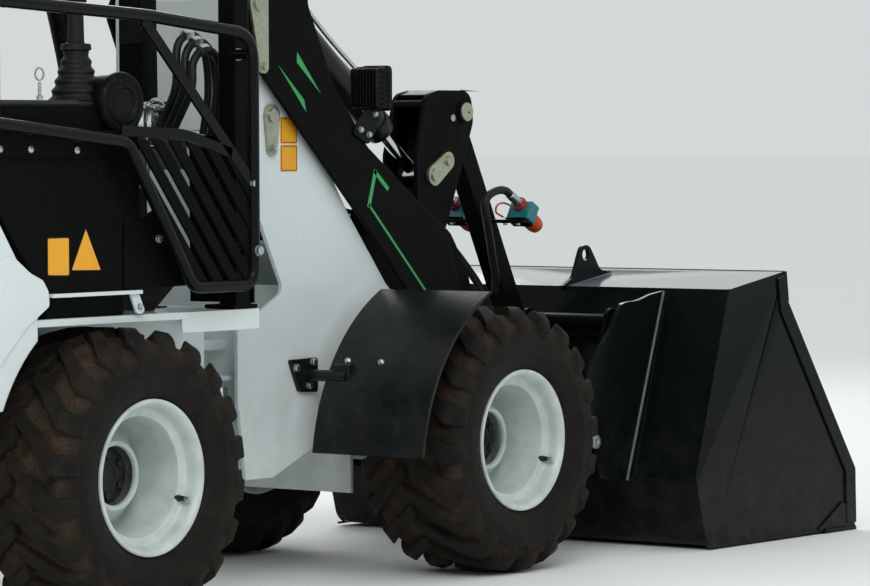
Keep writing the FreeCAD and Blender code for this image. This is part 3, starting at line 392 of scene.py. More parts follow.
# Cast vinyl stickers: flat even colour with a soft sheen
YELLOW = Finish("yellow_vinyl_sticker", "#eba51d", "#e09a18", 0.42, dust_most=0.1, speck=0.03, cloud=0.3)
DARK_LINE = Finish("black_printed_sticker_border", "#1d1a14", "#25211a", 0.45, speck=0.02)
GREEN = Finish("green_vinyl_stripe", "#2f9a52", "#2a8d49", 0.40, dust_most=0.1, speck=0.03, cloud=0.3)
# Anodised quick coupler block: satin teal aluminium
TEAL = Finish("teal_painted_coupler_block", "#10707a", "#0d6470", 0.34, coat=0.2, grain_mm=1.2,
              cloud_mm=30.0)
RED = Finish("red_painted_coupler_ring", "#a3261b", "#8f1f17", 0.36, cloud_mm=20.0)
# Soft moulded dust caps
ORANGE = Finish("orange_moulded_dust_cap", "#c2491a", "#b33f14", 0.46, grain_mm=1.2, cloud_mm=25.0)
# Lamp lenses: clear acrylic seen over its reflector, and red acrylic
CLEAR_LENS = Finish("clear_acrylic_lamp_lens", "#aab4b8", "#8f9a9e", 0.10, coat=1.0, grain_mm=6.0,
                    grain=0.2, ior=1.49, speck=0.02)
RED_LENS = Finish("red_acrylic_lamp_lens", "#8e1712", "#7a120e", 0.14, coat=1.0, grain_mm=5.0, grain=0.2,
                  ior=1.49, speck=0.03)
# Smoked glass of the display, without grain
DISPLAY = Finish("smoked_display_glass", "#080b0c", "#0c1012", 0.30, ior=1.2, grain=0.0, speck=0.03)
# Unlit inside of the hubs: painted shade, near black, on each hub and its bolts
HUB_PAINTED_SHADE = Finish("soot_dark_hub_interior", "#08090a", "#0d0e0f", 0.70, speck=0.05)
# Weld bead: the sheet's black paint, coloured a paler blue grey as a painted sky sheen on the rounded bead
WELD_SHEEN = Finish("painted_weld_bead", "#3a4346", "#2b3335", 0.34, coat=0.3, grain_mm=4.0, grain=0.25)
# Seat vinyl with its embossed grain
VINYL = SeatVinyl("black_embossed_seat_vinyl", "#17191b", "#1f2224", 0.48, grain_mm=2.2, grain=0.12,
                  ior=1.5)


class Form:
    """Points and faces of one piece, gathered as arrays before they become a mesh."""

    def __init__(self) -> None:
        """Starts with no points."""
        self.points: list[Points] = []
        self.faces: list[list[int]] = []
        self.slots: list[int] = []
        self.marks: list[Points] = []
        self.count = 0

    def grid(self, points: Points, wrap_u: bool = False, wrap_v: bool = False, ends: bool = False,
             slot: int = 0, mark: Points | float = 0.0) -> "Form":
        """Adds surfaces given on a grid of two parameters.

        Neighbouring points on the grid make a four sided face; a wrapped direction joins its last row to its first.

        Args:
            points: Array of shape (u, v, 3), or (copies, u, v, 3) for a repeated surface.
            wrap_u: Join the last u row to the first.
            wrap_v: Join the last v row to the first.
            ends: Close the first and the last u row with one face each.
            slot: Number of the finish in the piece's list.
            mark: Value of the painted attribute, for all points or of shape (u, v) or (copies, u, v).

        Returns:
            The form itself.
        """
        batch = points if points.ndim == 4 else points[None]
        copies, rows, columns, _ = batch.shape
        first = np.arange(rows if wrap_u else rows - 1)
        across = np.arange(columns if wrap_v else columns - 1)
        i, j = np.meshgrid(first, across, indexing="ij")
        following, beside = (i + 1) % rows, (j + 1) % columns
        quads = np.stack([i * columns + j, following * columns + j, following * columns + beside,
                          i * columns + beside], axis=-1).reshape(-1, 4)
        starts = self.count + np.arange(copies)[:, None, None] * rows * columns
        made = (quads[None] + starts).reshape(-1, 4).tolist()
        if ends:
            ring = np.arange(columns)
            for offset in (0, (rows - 1) * columns):
                made += (ring[None] + offset + starts[:, :, 0]).tolist()
        self.points.append(batch.reshape(-1, 3))
        self.marks.append(np.broadcast_to(np.asarray(mark, dtype=float), batch.shape[:3]).reshape(-1))
        self.faces += made
        self.slots += [slot] * len(made)
        self.count += copies * rows * columns
        return self

    def plate(self, outline: Sequence[Sequence[float]], low: float, high: float, edge: float,
              place: Sequence[Sequence[float]] = SIDE_VIEW, origin: Sequence[float] = (0, 0, 0),
              slot: int = 0) -> "Form":
        """Adds a closed plate with a chamfered rim, drawn from the side unless told otherwise."""
        return self.grid(sheet_outline(outline, low, high, edge, place, origin), wrap_v=True, ends=True,
                         slot=slot)

    def rod(self, path: Points, radius: Points | float, sides: int = 12, slot: int = 0) -> "Form":
        """Adds a closed round rod along a path."""
        return self.grid(tube(path, radius, sides), wrap_v=True, ends=True, slot=slot)

    def turning(self, profile: Sequence[Sequence[float]], centre: Sequence[float], axis: Sequence[float],
                sides: int = 24, slot: int = 0) -> "Form":
        """Adds a surface of revolution whose profile closes on its axis at both ends."""
        return self.grid(turned(profile, centre, axis, sides), wrap_v=True, slot=slot)

    def piece(self, name: str, body: str, finishes: Sequence[Finish], edge: Edge = Edge.MOULDED,
              slot: str = "black_paint", bevel_mm: float = 0.0, mark: str = "") -> bpy.types.Object:
        """Makes the mesh object, closes its seams and sets it on its body.

        Args:
            name: Name of the piece.
            body: CAD body it rides on.
            finishes: Finish of each slot number.
            edge: Shading across corners.
            slot: Name of a material slot of the record, or nothing for a sticker; not used.
            bevel_mm: Width of a rounded edge added by a modifier.
            mark: Name of the painted attribute, if any.

        Returns:
            The new object.
        """
        mesh = bpy.data.meshes.new(name)
        mesh.from_pydata(np.concatenate(self.points).tolist(), [], self.faces)
        mesh.polygons.foreach_set("material_index", np.array(self.slots, dtype=np.int32))
        if mark:
            layer = mesh.attributes.new(mark, "FLOAT", "POINT")
            layer.data.foreach_set("value", np.concatenate(self.marks).astype(np.float32))
        work = bmesh.new()
        work.from_mesh(mesh)
        bmesh.ops.remove_doubles(work, verts=work.verts, dist=1e-6)
        bmesh.ops.recalc_face_normals(work, faces=work.faces)
        work.to_mesh(mesh)
        work.free()
        for finish in finishes:
            mesh.materials.append(finish.make())
        obj = bpy.data.objects.new(name, mesh)
        bpy.context.scene.collection.objects.link(obj)
        finish_object(obj, edge, bevel_mm)
        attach(obj, body)
        LOG.info("%s: %d faces on %s", name, len(mesh.polygons), body)
        return obj


def finish_object(obj: bpy.types.Object, edge: Edge, bevel_mm: float) -> None:
    """Sets smooth shading up to an angle and adds the rounded edge.

    Args:
        obj: The piece.
        edge: Steepest angle that stays smooth.
        bevel_mm: Width of the rounded edge, or zero.
    """
    obj.data.set_sharp_from_angle(angle=math.radians(edge.value))
    obj.data.polygons.foreach_set("use_smooth", np.ones(len(obj.data.polygons), dtype=bool))
    if bevel_mm > 0:
        rounding = obj.modifiers.new("rounded_edges", "BEVEL")
        rounding.width = bevel_mm * MM
        rounding.segments = 2
        rounding.limit_method = "ANGLE"
        rounding.angle_limit = math.radians(32)
        rounding.harden_normals = True
        rounding.use_clamp_overlap = False


def frames(path: Points) -> tuple[Points, Points]:
    """Two directions square to a path at each point.

    The tangent is the central difference; the first direction is square to it and to a fixed axis that the path
    never follows, and the second is their cross product.

    Args:
        path: Array of shape (n, 3).

    Returns:
        Two arrays of unit vectors.
    """
    tangent = np.gradient(path, axis=0)
    tangent /= np.linalg.norm(tangent, axis=1, keepdims=True)
    axis = np.eye(3)[np.argmin(np.abs(tangent).max(axis=0))]
    side = np.cross(tangent, axis)
    side /= np.linalg.norm(side, axis=1, keepdims=True)
    return side, np.cross(side, tangent)


def tube(path: Points, radius: Points | float, sides: int = 12) -> Points:
    """Round surface along a path: path + radius (cos t side + sin t up).

    Args:
        path: Array of shape (n, 3).
        radius: One radius or one for each point.
        sides: Points round the tube.

    Returns:
        Grid of shape (n, sides, 3).
    """
    side, up = frames(path)
    turn = np.linspace(0, 2 * np.pi, sides, endpoint=False)
    reach = np.broadcast_to(np.asarray(radius, dtype=float), (len(path),))[:, None, None]
    ring = np.cos(turn)[None, :, None] * side[:, None] + np.sin(turn)[None, :, None] * up[:, None]
    return path[:, None] + reach * ring


def curve(corners: Sequence[Sequence[float]], steps: int = 8) -> Points:
    """Smooth path through points: the Catmull-Rom cubic of each run of four points.

    Args:
        corners: Points the path passes through.
        steps: Samples for each run.

    Returns:
        Array of shape (n, 3).
    """
    held = np.array(corners, dtype=float)
    held = np.concatenate([2 * held[:1] - held[1:2], held, 2 * held[-1:] - held[-2:-1]])
    a, b, c, d = held[:-3, None], held[1:-2, None], held[2:-1, None], held[3:, None]
    t = np.linspace(0, 1, steps, endpoint=False)[None, :, None]
    runs = 0.5 * (2 * b + (c - a) * t + (2 * a - 5 * b + 4 * c - d) * t ** 2 + (3 * b - a - 3 * c
                                                                                + d) * t ** 3)
    return np.concatenate([runs.reshape(-1, held.shape[1]), held[-2:-1]])


def turned(profile: Sequence[Sequence[float]], centre: Sequence[float], axis: Sequence[float],
           sides: int = 24) -> Points:
    """Surface of revolution: centre + along axis + radius (cos t, sin t) round it.

    Args:
        profile: Rows of (along the axis, radius) in millimetres.
        centre: Point where along is zero, in metres.
        axis: Direction of the axis.
        sides: Points round the axis.

    Returns:
        Grid of shape (profile, sides, 3).
    """
    shape = np.array(profile, dtype=float) * MM
    line = np.array(axis, dtype=float) / np.linalg.norm(axis)
    side = np.cross(line, np.eye(3)[np.argmin(np.abs(line))])
    side /= np.linalg.norm(side)
    up = np.cross(line, side)
    turn = np.linspace(0, 2 * np.pi, sides, endpoint=False)
    ring = np.cos(turn)[:, None] * side + np.sin(turn)[:, None] * up
    return np.array(centre) + shape[:, None, :1] * line + shape[:, None, 1:] * ring[None]


def sheet_outline(outline: Sequence[Sequence[float]], low: float, high: float, edge: float,
                  place: Sequence[Sequence[float]], origin: Sequence[float]) -> Points:
    """Flat plate with a chamfered rim: its outline carried from the low to the high face, drawn in at both.

    Args:
        outline: Corners (u, v) of the plate in order, in metres.
        low: Start of the thickness.
        high: End of the thickness.
        edge: How far the rim is drawn in at each face.
        place: Directions of u, v and the thickness.
        origin: Point where all three are zero.

    Returns:
        Grid of shape (4, corners, 3).
    """
    flat = np.array(outline, dtype=float)
    before = flat - np.roll(flat, 1, axis=0)
    after = np.roll(flat, -1, axis=0) - flat
    before /= np.linalg.norm(before, axis=1, keepdims=True)
    after /= np.linalg.norm(after, axis=1, keepdims=True)
    area = np.sum(flat[:, 0] * np.roll(flat[:, 1], -1) - np.roll(flat[:, 0], -1) * flat[:, 1])
    bisector = (after - before)
    size = np.linalg.norm(bisector, axis=1, keepdims=True)
    square = np.stack([-before[:, 1], before[:, 0]], axis=1) * np.sign(area)
    inward = np.where(size > 1e-6, bisector / np.maximum(size, 1e-6), square)
    inward *= np.sign(np.sum(inward * square, axis=1, keepdims=True) + 1e-9)
    drawn = flat + inward * edge
    step = min(edge, (high - low) * 0.45)
    rings = np.stack([np.c_[drawn, np.full(len(flat), low)], np.c_[flat, np.full(len(flat), low + step)],
                      np.c_[flat, np.full(len(flat), high - step)], np.c_[drawn, np.full(len(flat), high)]])
    return np.array(origin) + rings @ np.array(place, dtype=float)


def rounded(outline: Sequence[Sequence[float]], radius: float, steps: int = 4) -> Points:
    """Polygon with its corners cut back by the radius and bent as quadratic curves.

    Each corner becomes (1-t)^2 p + 2t(1-t) corner + t^2 q between points a radius before and after it.

    Args:
        outline: Corners (u, v).
        radius: Length cut from each side of a corner.
        steps: Points along each bend.

    Returns:
        Array of shape (corners * steps, 2).
    """
    flat = np.array(outline, dtype=float)
    back = np.roll(flat, 1, axis=0) - flat
    ahead = np.roll(flat, -1, axis=0) - flat
    start = flat + back / np.linalg.norm(back, axis=1, keepdims=True) * radius
    end = flat + ahead / np.linalg.norm(ahead, axis=1, keepdims=True) * radius
    t = np.linspace(0, 1, steps)[None, :, None]
    bends = (1 - t) ** 2 * start[:, None] + 2 * t * (1 - t) * flat[:, None] + t ** 2 * end[:, None]
    return bends.reshape(-1, 2)


def bent(corners: Sequence[Sequence[float]], radii: Sequence[float], steps: int = 10) -> Points:
    """Open path of straight runs joined by bends, as a tube bender leaves it.

    Each bend is the quadratic curve (1-t)^2 p + 2t(1-t) corner + t^2 q between the points that an arc would touch.

    Args:
        corners: Corners of the path.
        radii: Radius at each inner corner, in the same unit.
        steps: Points along each bend.

    Returns:
        Array of shape (n, 2 or 3).
    """
    held = np.array(corners, dtype=float)
    back, ahead = held[:-2] - held[1:-1], held[2:] - held[1:-1]
    back /= np.linalg.norm(back, axis=1, keepdims=True)
    ahead /= np.linalg.norm(ahead, axis=1, keepdims=True)
    half = np.arccos(np.clip(np.sum(back * ahead, axis=1), -1, 1)) / 2
    cut = (np.array(radii) / np.tan(half))[:, None]
    t = np.linspace(0, 1, steps)[None, :, None]
    start, end = (held[1:-1] + back * cut)[:, None], (held[1:-1] + ahead * cut)[:, None]
    bends = (1 - t) ** 2 * start + 2 * t * (1 - t) * held[1:-1, None] + t ** 2 * end
    return np.concatenate([held[:1], bends.reshape(-1, held.shape[1]), held[-1:]])


def bolts(form: Form, spots: Iterable[Sequence[float]], axis: Sequence[float], size_mm: float, slot: int = 0
          ) -> Form:
    """Hexagon bolt heads on washers: six sided and round profiles turned about each bolt's own axis.

    Args:
        form: Form that takes the bolts.
        spots: Seat of each bolt on its plate, in metres.
        axis: Direction each head points.
        size_mm: Thread size.
        slot: Number of the finish.

    Returns:
        The form.
    """
    washer = [(0, TIP), (0, size_mm * 1.05), (size_mm * 0.16, size_mm * 1.0), (size_mm * 0.18, TIP)]
    head = [(size_mm * 0.17, TIP), (size_mm * 0.17, size_mm * 0.9), (size_mm * 0.72, size_mm * 0.9),
            (size_mm * 0.84, size_mm * 0.74), (size_mm * 0.84, TIP)]
    for spot in spots:
        form.turning(washer, spot, axis, 16, slot=slot)
        form.turning(head, spot, axis, 6, slot=slot)
    return form


def dress(node: str, finish: Finish) -> None:
    """Gives a CAD node its finish."""
    obj = frame["nodes"][node]
    obj.data.materials.clear()
    obj.data.materials.append(finish.make())


def soften(node: str, finish: Finish, width_mm: float) -> bpy.types.Object:
    """Stands in for a CAD node with the same shape whose plate edges are rounded, as sprayed steel's are.

    Args:
        node: The CAD node.
        finish: Its finish.
        width_mm: Width of the rounding.

    Returns:
        The new object.
    """
    source = frame["nodes"][node]
    mesh = source.data.copy()
    mesh.name = node + "_shape"
    work = bmesh.new()
    work.from_mesh(mesh)
    bmesh.ops.remove_doubles(work, verts=work.verts, dist=2e-6)
    bmesh.ops.dissolve_limit(work, angle_limit=math.radians(0.4), verts=work.verts, edges=work.edges)
    work.to_mesh(mesh)
    work.free()
    mesh.materials.clear()
    mesh.materials.append(finish.make())
    obj = bpy.data.objects.new(node + "_shape", mesh)
    bpy.context.scene.collection.objects.link(obj)
    finish_object(obj, Edge.MOULDED, width_mm)
    bodies = body_of(source)
    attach(obj, bodies if isinstance(bodies, str) else bodies[0])
    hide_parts(node)
    LOG.info("%s softened: %d faces", node, len(mesh.polygons))
    return obj


@dataclass
class Studio:
    """Camera, lamps, sky and floor."""

    place: tuple[float, float, float] = (-7.7555, -6.445, 1.052)
    yaw: float = math.radians(-52.606)
    pitch: float = math.radians(2.148)
    roll: float = math.radians(0.242)
    lens: float = 172.26

    def camera(self) -> None:
        """Camera whose forward is (-sin yaw cos pitch, cos yaw cos pitch, -sin pitch), rolled about it."""
        data = bpy.data.cameras.new("photo_camera")
        data.lens = self.lens
        data.sensor_width = 36.0
        data.clip_end = 200.0
        forward = mathutils.Vector((-math.sin(self.yaw) * math.cos(self.pitch),
                                    math.cos(self.yaw) * math.cos(self.pitch), -math.sin(self.pitch)))
        right = mathutils.Vector((math.cos(self.yaw), math.sin(self.yaw), 0.0))
        down = forward.cross(right)
        across = right * math.cos(self.roll) + down * math.sin(self.roll)
        below = down * math.cos(self.roll) - right * math.sin(self.roll)
        turn = mathutils.Matrix((across, -below, -forward)).transposed().to_4x4()
        obj = bpy.data.objects.new("photo_camera", data)
        bpy.context.scene.collection.objects.link(obj)
        obj.matrix_world = mathutils.Matrix.Translation(self.place) @ turn
        bpy.context.scene.camera = obj

    def lamp(self, name: str, place: Sequence[float], target: Sequence[float], size: float,
             power: float) -> None:
        """Soft square lamp that looks at a point."""
        data = bpy.data.lights.new(name, "AREA")
        data.size = size
        data.energy = power
        obj = bpy.data.objects.new(name, data)
        bpy.context.scene.collection.objects.link(obj)
        toward = mathutils.Vector(target) - mathutils.Vector(place)
        obj.location = place
        obj.rotation_euler = toward.to_track_quat("-Z", "Y").to_euler()

    def sky(self) -> None:
        """Overcast sky: pale overhead, darker towards the horizon, and a pale backdrop for the camera."""
        world = bpy.data.worlds.new("overcast_studio")
        world.use_nodes = True
        tree = world.node_tree
        tree.nodes.clear()
        where = put(tree, "ShaderNodeTexCoord", {}, {}).outputs["Generated"]
        height = put(tree, "ShaderNodeSeparateXYZ", {}, {0: where}).outputs[2]
        rise = put(tree, "ShaderNodeMapRange", {"interpolation_type": "SMOOTHSTEP"},
                   {0: height, 1: -0.05, 2: 0.85, 3: 0.0, 4: 1.0}).outputs[0]
        tone = put(tree, "ShaderNodeMix", {"data_type": "RGBA"},
                   {0: rise, 6: linear("#8b9190"), 7: linear("#f4f7f8")}).outputs[2]
        light = put(tree, "ShaderNodeBackground", {}, {"Color": tone, "Strength": 0.95})
        backdrop = put(tree, "ShaderNodeBackground", {}, {"Color": linear("#d4d8d8"), "Strength": 1.0})
        rays = put(tree, "ShaderNodeLightPath", {}, {}).outputs
        mirrored = put(tree, "ShaderNodeMath", {"operation": "MAXIMUM"},
                       {0: rays["Is Glossy Ray"], 1: rays["Is Transmission Ray"]}).outputs[0]
        seen = put(tree, "ShaderNodeMath", {"operation": "MAXIMUM"}, {0: rays["Is Camera Ray"],
                                                                      1: mirrored}).outputs[0]
        both = put(tree, "ShaderNodeMixShader", {}, {0: seen, 1: light.outputs[0], 2: backdrop.outputs[0]})
        put(tree, "ShaderNodeOutputWorld", {}, {0: both.outputs[0]})
        bpy.context.scene.world = world

    def floor(self) -> None:
        """Level pale floor, a grid that spreads far past the view."""
        reach = np.linspace(-900.0, 900.0, 31)
        x, y = np.meshgrid(reach, reach, indexing="ij")
        grid = np.stack([x, y, np.zeros_like(x)], axis=-1)
        form = Form().grid(grid)
        mesh = bpy.data.meshes.new("studio_floor")
        mesh.from_pydata(np.concatenate(form.points).tolist(), [], form.faces)
        material = Finish("pale_studio_floor", "#eff1f0", "#ecefee", 0.75, cloud_mm=3000.0, speck=0.0,
                          dust_most=0.0, grain=0.0).make()
        mesh.materials.append(material)
        obj = bpy.data.objects.new("studio_floor", mesh)
        bpy.context.scene.collection.objects.link(obj)

    def build(self) -> None:
        """Sets the whole studio."""
        bpy.context.scene.view_settings.view_transform = "Standard"
        self.camera()
        self.sky()
        self.floor()
        self.lamp("high_key", (-5.5, -5.0, 6.0), (-0.2, 0.0, 0.8), 4.5, 300.0)
        self.lamp("back_fill", (4.5, 5.0, 4.5), (0.2, 0.0, 0.8), 4.0, 160.0)
        LOG.info("studio set")


@dataclass
class FarmWheel:
    """Wheel with its lugged tyre on a deep dished rim, about an axle across the machine."""

    axle: str
    side: Side
    plane: float = 0.414
    lugs: int = 20
    crown: float = 0.298
    steps: int = 160
    lug_travel: float = 0.098

    def centre(self) -> Points:
        """Middle of the tyre."""
        start = FRONT_AXLE if self.axle == "front" else REAR_AXLE
        return start + np.array((0.0, self.side.value * self.plane, 0.0))

    def place(self, along: Points, radius: Points, angle: Points) -> Points:
        """Points from their place along the axle, radius and angle: x = r cos a, z = r sin a."""
        shape = np.stack([radius * np.cos(angle), self.side.value * along + 0 * angle,
                          radius * np.sin(angle)], axis=-1)
        return self.centre() + shape

    def casing(self) -> tuple[Points, Points]:
        """Section of the casing turned round the axle, with fine rings on its sidewalls and soil on its crown."""
        half = np.array([(0, 300), (60, 298.5), (95, 296), (112, 292.5), (122, 289), (130, 284), (136, 277),
                         (139, 270), (141, 262), (142.2, 261), (143.2, 256), (144.8, 246), (146, 232),
                         (146.2, 222), (145.4, 221), (145, 216), (143, 207), (139, 197), (138.4, 194),
                         (136, 188), (133, 182), (127, 175), (121, 169), (117.6, 163), (117, 157.2)])
        section = np.concatenate([half[::-1], half[1:] * (-1, 1)]) * MM
        turn = np.linspace(0, 2 * np.pi, self.steps, endpoint=False)
        grid = self.place(section[:, None, 0], section[:, None, 1], turn[None])
        soil = np.interp(section[:, 1], (0.25, 0.285, 0.30), (0.18, 0.75, 1.0))
        return grid, np.repeat(soil[:, None], self.steps, axis=1)

    def treads(self, hand: int) -> tuple[Points, Points]:
        """Lugs of one side: a tapering section carried from the centre line over the shoulder down the sidewall.

        The middle line's angle is travel * u / radius, where u is how far it has come to the shoulder, and each
        section is a flat top with rounded corners over walls that spread towards a sunken base.

        Args:
            hand: One for the outer side of the tyre, minus one for the inner.

        Returns:
            Grid of shape (lugs, along, round, 3) and its soil.
        """
        top = np.array([(-7, 316), (-4, 321.5), (40, 322), (80, 321), (104, 318.6), (118, 315),
                        (129, 307.5), (138, 297), (144, 285), (146.6, 273), (147.2, 262),
                        (146.4, 254)]) * MM
        base = np.array([(-7, 288), (-4, 288), (40, 288), (80, 286), (104, 281), (114, 277), (121, 272),
                         (127, 267), (131, 262), (134, 257), (137, 252), (141, 249)]) * MM
        wide = np.array([30, 33, 36, 40, 45, 47, 47, 46, 44, 41, 38, 33]) * MM
        u = np.clip((top[:, 0] + 0.004) / 0.122, 0, 1)
        drift = self.lug_travel * u ** 1.12
        phase = (0.0 if hand > 0 else 0.5) + (0.13 if self.axle == "front" else 0.47)
        start = 2 * np.pi * (np.arange(self.lugs) + phase) / self.lugs
        spread = np.array([-0.60, -0.53, -0.50, -0.43, 0.43, 0.50, 0.53, 0.60])
        rise = np.array([0.0, 0.55, 0.90, 1.0, 1.0, 0.90, 0.55, 0.0])
        along = base[:, None, 0] + (top - base)[:, None, 0] * rise
        radius = base[:, None, 1] + (top - base)[:, None, 1] * rise
        lean = (drift[:, None] + spread * wide[:, None]) / self.crown
        angle = start[:, None, None] + lean[None]
        grid = self.place(np.broadcast_to(hand * along, angle.shape), np.broadcast_to(radius, angle.shape),
                          angle)
        soil = np.broadcast_to(np.interp(rise, (0, 0.6, 1), (1.0, 0.55, 0.22)), angle.shape)
        return grid, soil

    def tyre(self) -> None:
        """Casing and both rows of lugs as one piece."""
        form = Form()
        grid, soil = self.casing()
        form.grid(grid, wrap_u=True, wrap_v=True, mark=soil)
        for hand in (1, -1):
            grid, soil = self.treads(hand)
            form.grid(grid, wrap_v=True, ends=True, mark=soil)
        name = f"tyre_{self.axle}_{self.side.name.lower()}"
        made = form.piece(f"lugged_{name}", self.body(), [TYRE], Edge.MOULDED, "tyre_rubber", mark="soil")
        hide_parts(name)

    def rim(self) -> None:
        """Rim turned from a profile: rolled flanges, bead seats, drop centre, a disc coned out to its flat ring.

        The hub stands behind the ring's hole with its bolts, both painted near black as shade.
        """
        flange = [(117.5, 157.0), (119, 163), (121.5, 168.2), (125.5, 170.6), (129.4, 169.6), (131, 166.4),
                  (130.2, 162.6), (127, 158.6), (121, 154.2)]
        face = [(112, 152.0), (98, 151.0), (93.5, 149.6), (91, 146.0), (89.5, 135.5), (87.5, 132.2),
                (83, 131.0), (10, 130.7), (-32, 130.2), (-37.5, 128.0), (-37.0, 125.0), (16.0, 80.6),
                (20.5, 77.6), (23.0, 75.0), (23.2, 71.0), (22.6, 66.0), (20.0, 64.6)]
        back = [(14.0, 64.6), (12.5, 76.0), (-46, 124.0), (-52, 128.6), (-60, 130.0), (-84, 131.0),
                (-90, 137.0), (-94, 149.0), (-110, 151.6)]
        hidden = [(-117.5, 157.0), (-100, 156.6), (-84, 156), (-70, 136.5), (70, 136.5), (84, 156),
                  (100, 156.6)]
        inboard = [(-along, radius) for along, radius in reversed(flange[1:])]
        sign = self.side.value
        form = Form()
        shape = np.array(flange + face + back + inboard + hidden) * MM
        turn = np.linspace(0, 2 * np.pi, 128, endpoint=False)
        form.grid(self.place(shape[:, None, 0], shape[:, None, 1], turn[None]), wrap_u=True, wrap_v=True)
        hub = np.array([(-4, TIP), (-4, 26), (-1, 27), (-1, 33), (-6, 35), (-6, 62), (-9, 64.4),
                        (-30, 64.6), (-32, 75), (-188, 75), (-188, TIP)]) * MM
        form.grid(self.place(hub[:, None, 0], hub[:, None, 1], turn[None]), wrap_v=True, slot=1)
        for angle in np.arange(6) * np.pi / 3 + np.pi / 6:
            spot = self.centre() + np.array((0.046 * math.cos(angle), sign * -0.006,
                                             0.046 * math.sin(angle)))
            bolts(form, [spot], (0, sign, 0), 10.0, 1)
        name = f"rim_{self.axle}_{self.side.name.lower()}"
        made = form.piece(f"dished_{name}", self.body(), [RIM_WHITE, HUB_PAINTED_SHADE], Edge.MOULDED,
                          "white_paint")
        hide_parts(name)

    def valve(self) -> None:
        """Tyre valve: a turned rubber stem with its metal cap, through the drop centre near the outer flange."""
        angle = math.radians(-23)
        out = np.array((math.cos(angle), 0.0, math.sin(angle)))
        foot = self.centre() + out * 0.1405 + np.array((0, self.side.value * 0.086, 0))
        lean = np.array((0, self.side.value, 0)) - out * 0.10
        form = Form()
        form.turning([(-6, TIP), (-6, 9.5), (2, 9.5), (5, 7.0), (24, 5.2), (26, TIP)], foot, lean, 16)
        form.turning([(24, TIP), (24, 4.6), (38, 4.6), (39.5, 3.4), (39.5, TIP)], foot, lean, 12, slot=1)
        form.piece(f"valve_{self.axle}_{self.side.name.lower()}", self.body(), [RUBBER, BRIGHT_ZINC],
                   Edge.MOULDED, "tyre_rubber")

    def body(self) -> str:
        """CAD body of this wheel."""
        return f"wheel_{self.axle}_{self.side.name.lower()}"

    def build(self) -> None:
        """Builds the wheel."""
        self.tyre()
        self.rim()
        self.valve()


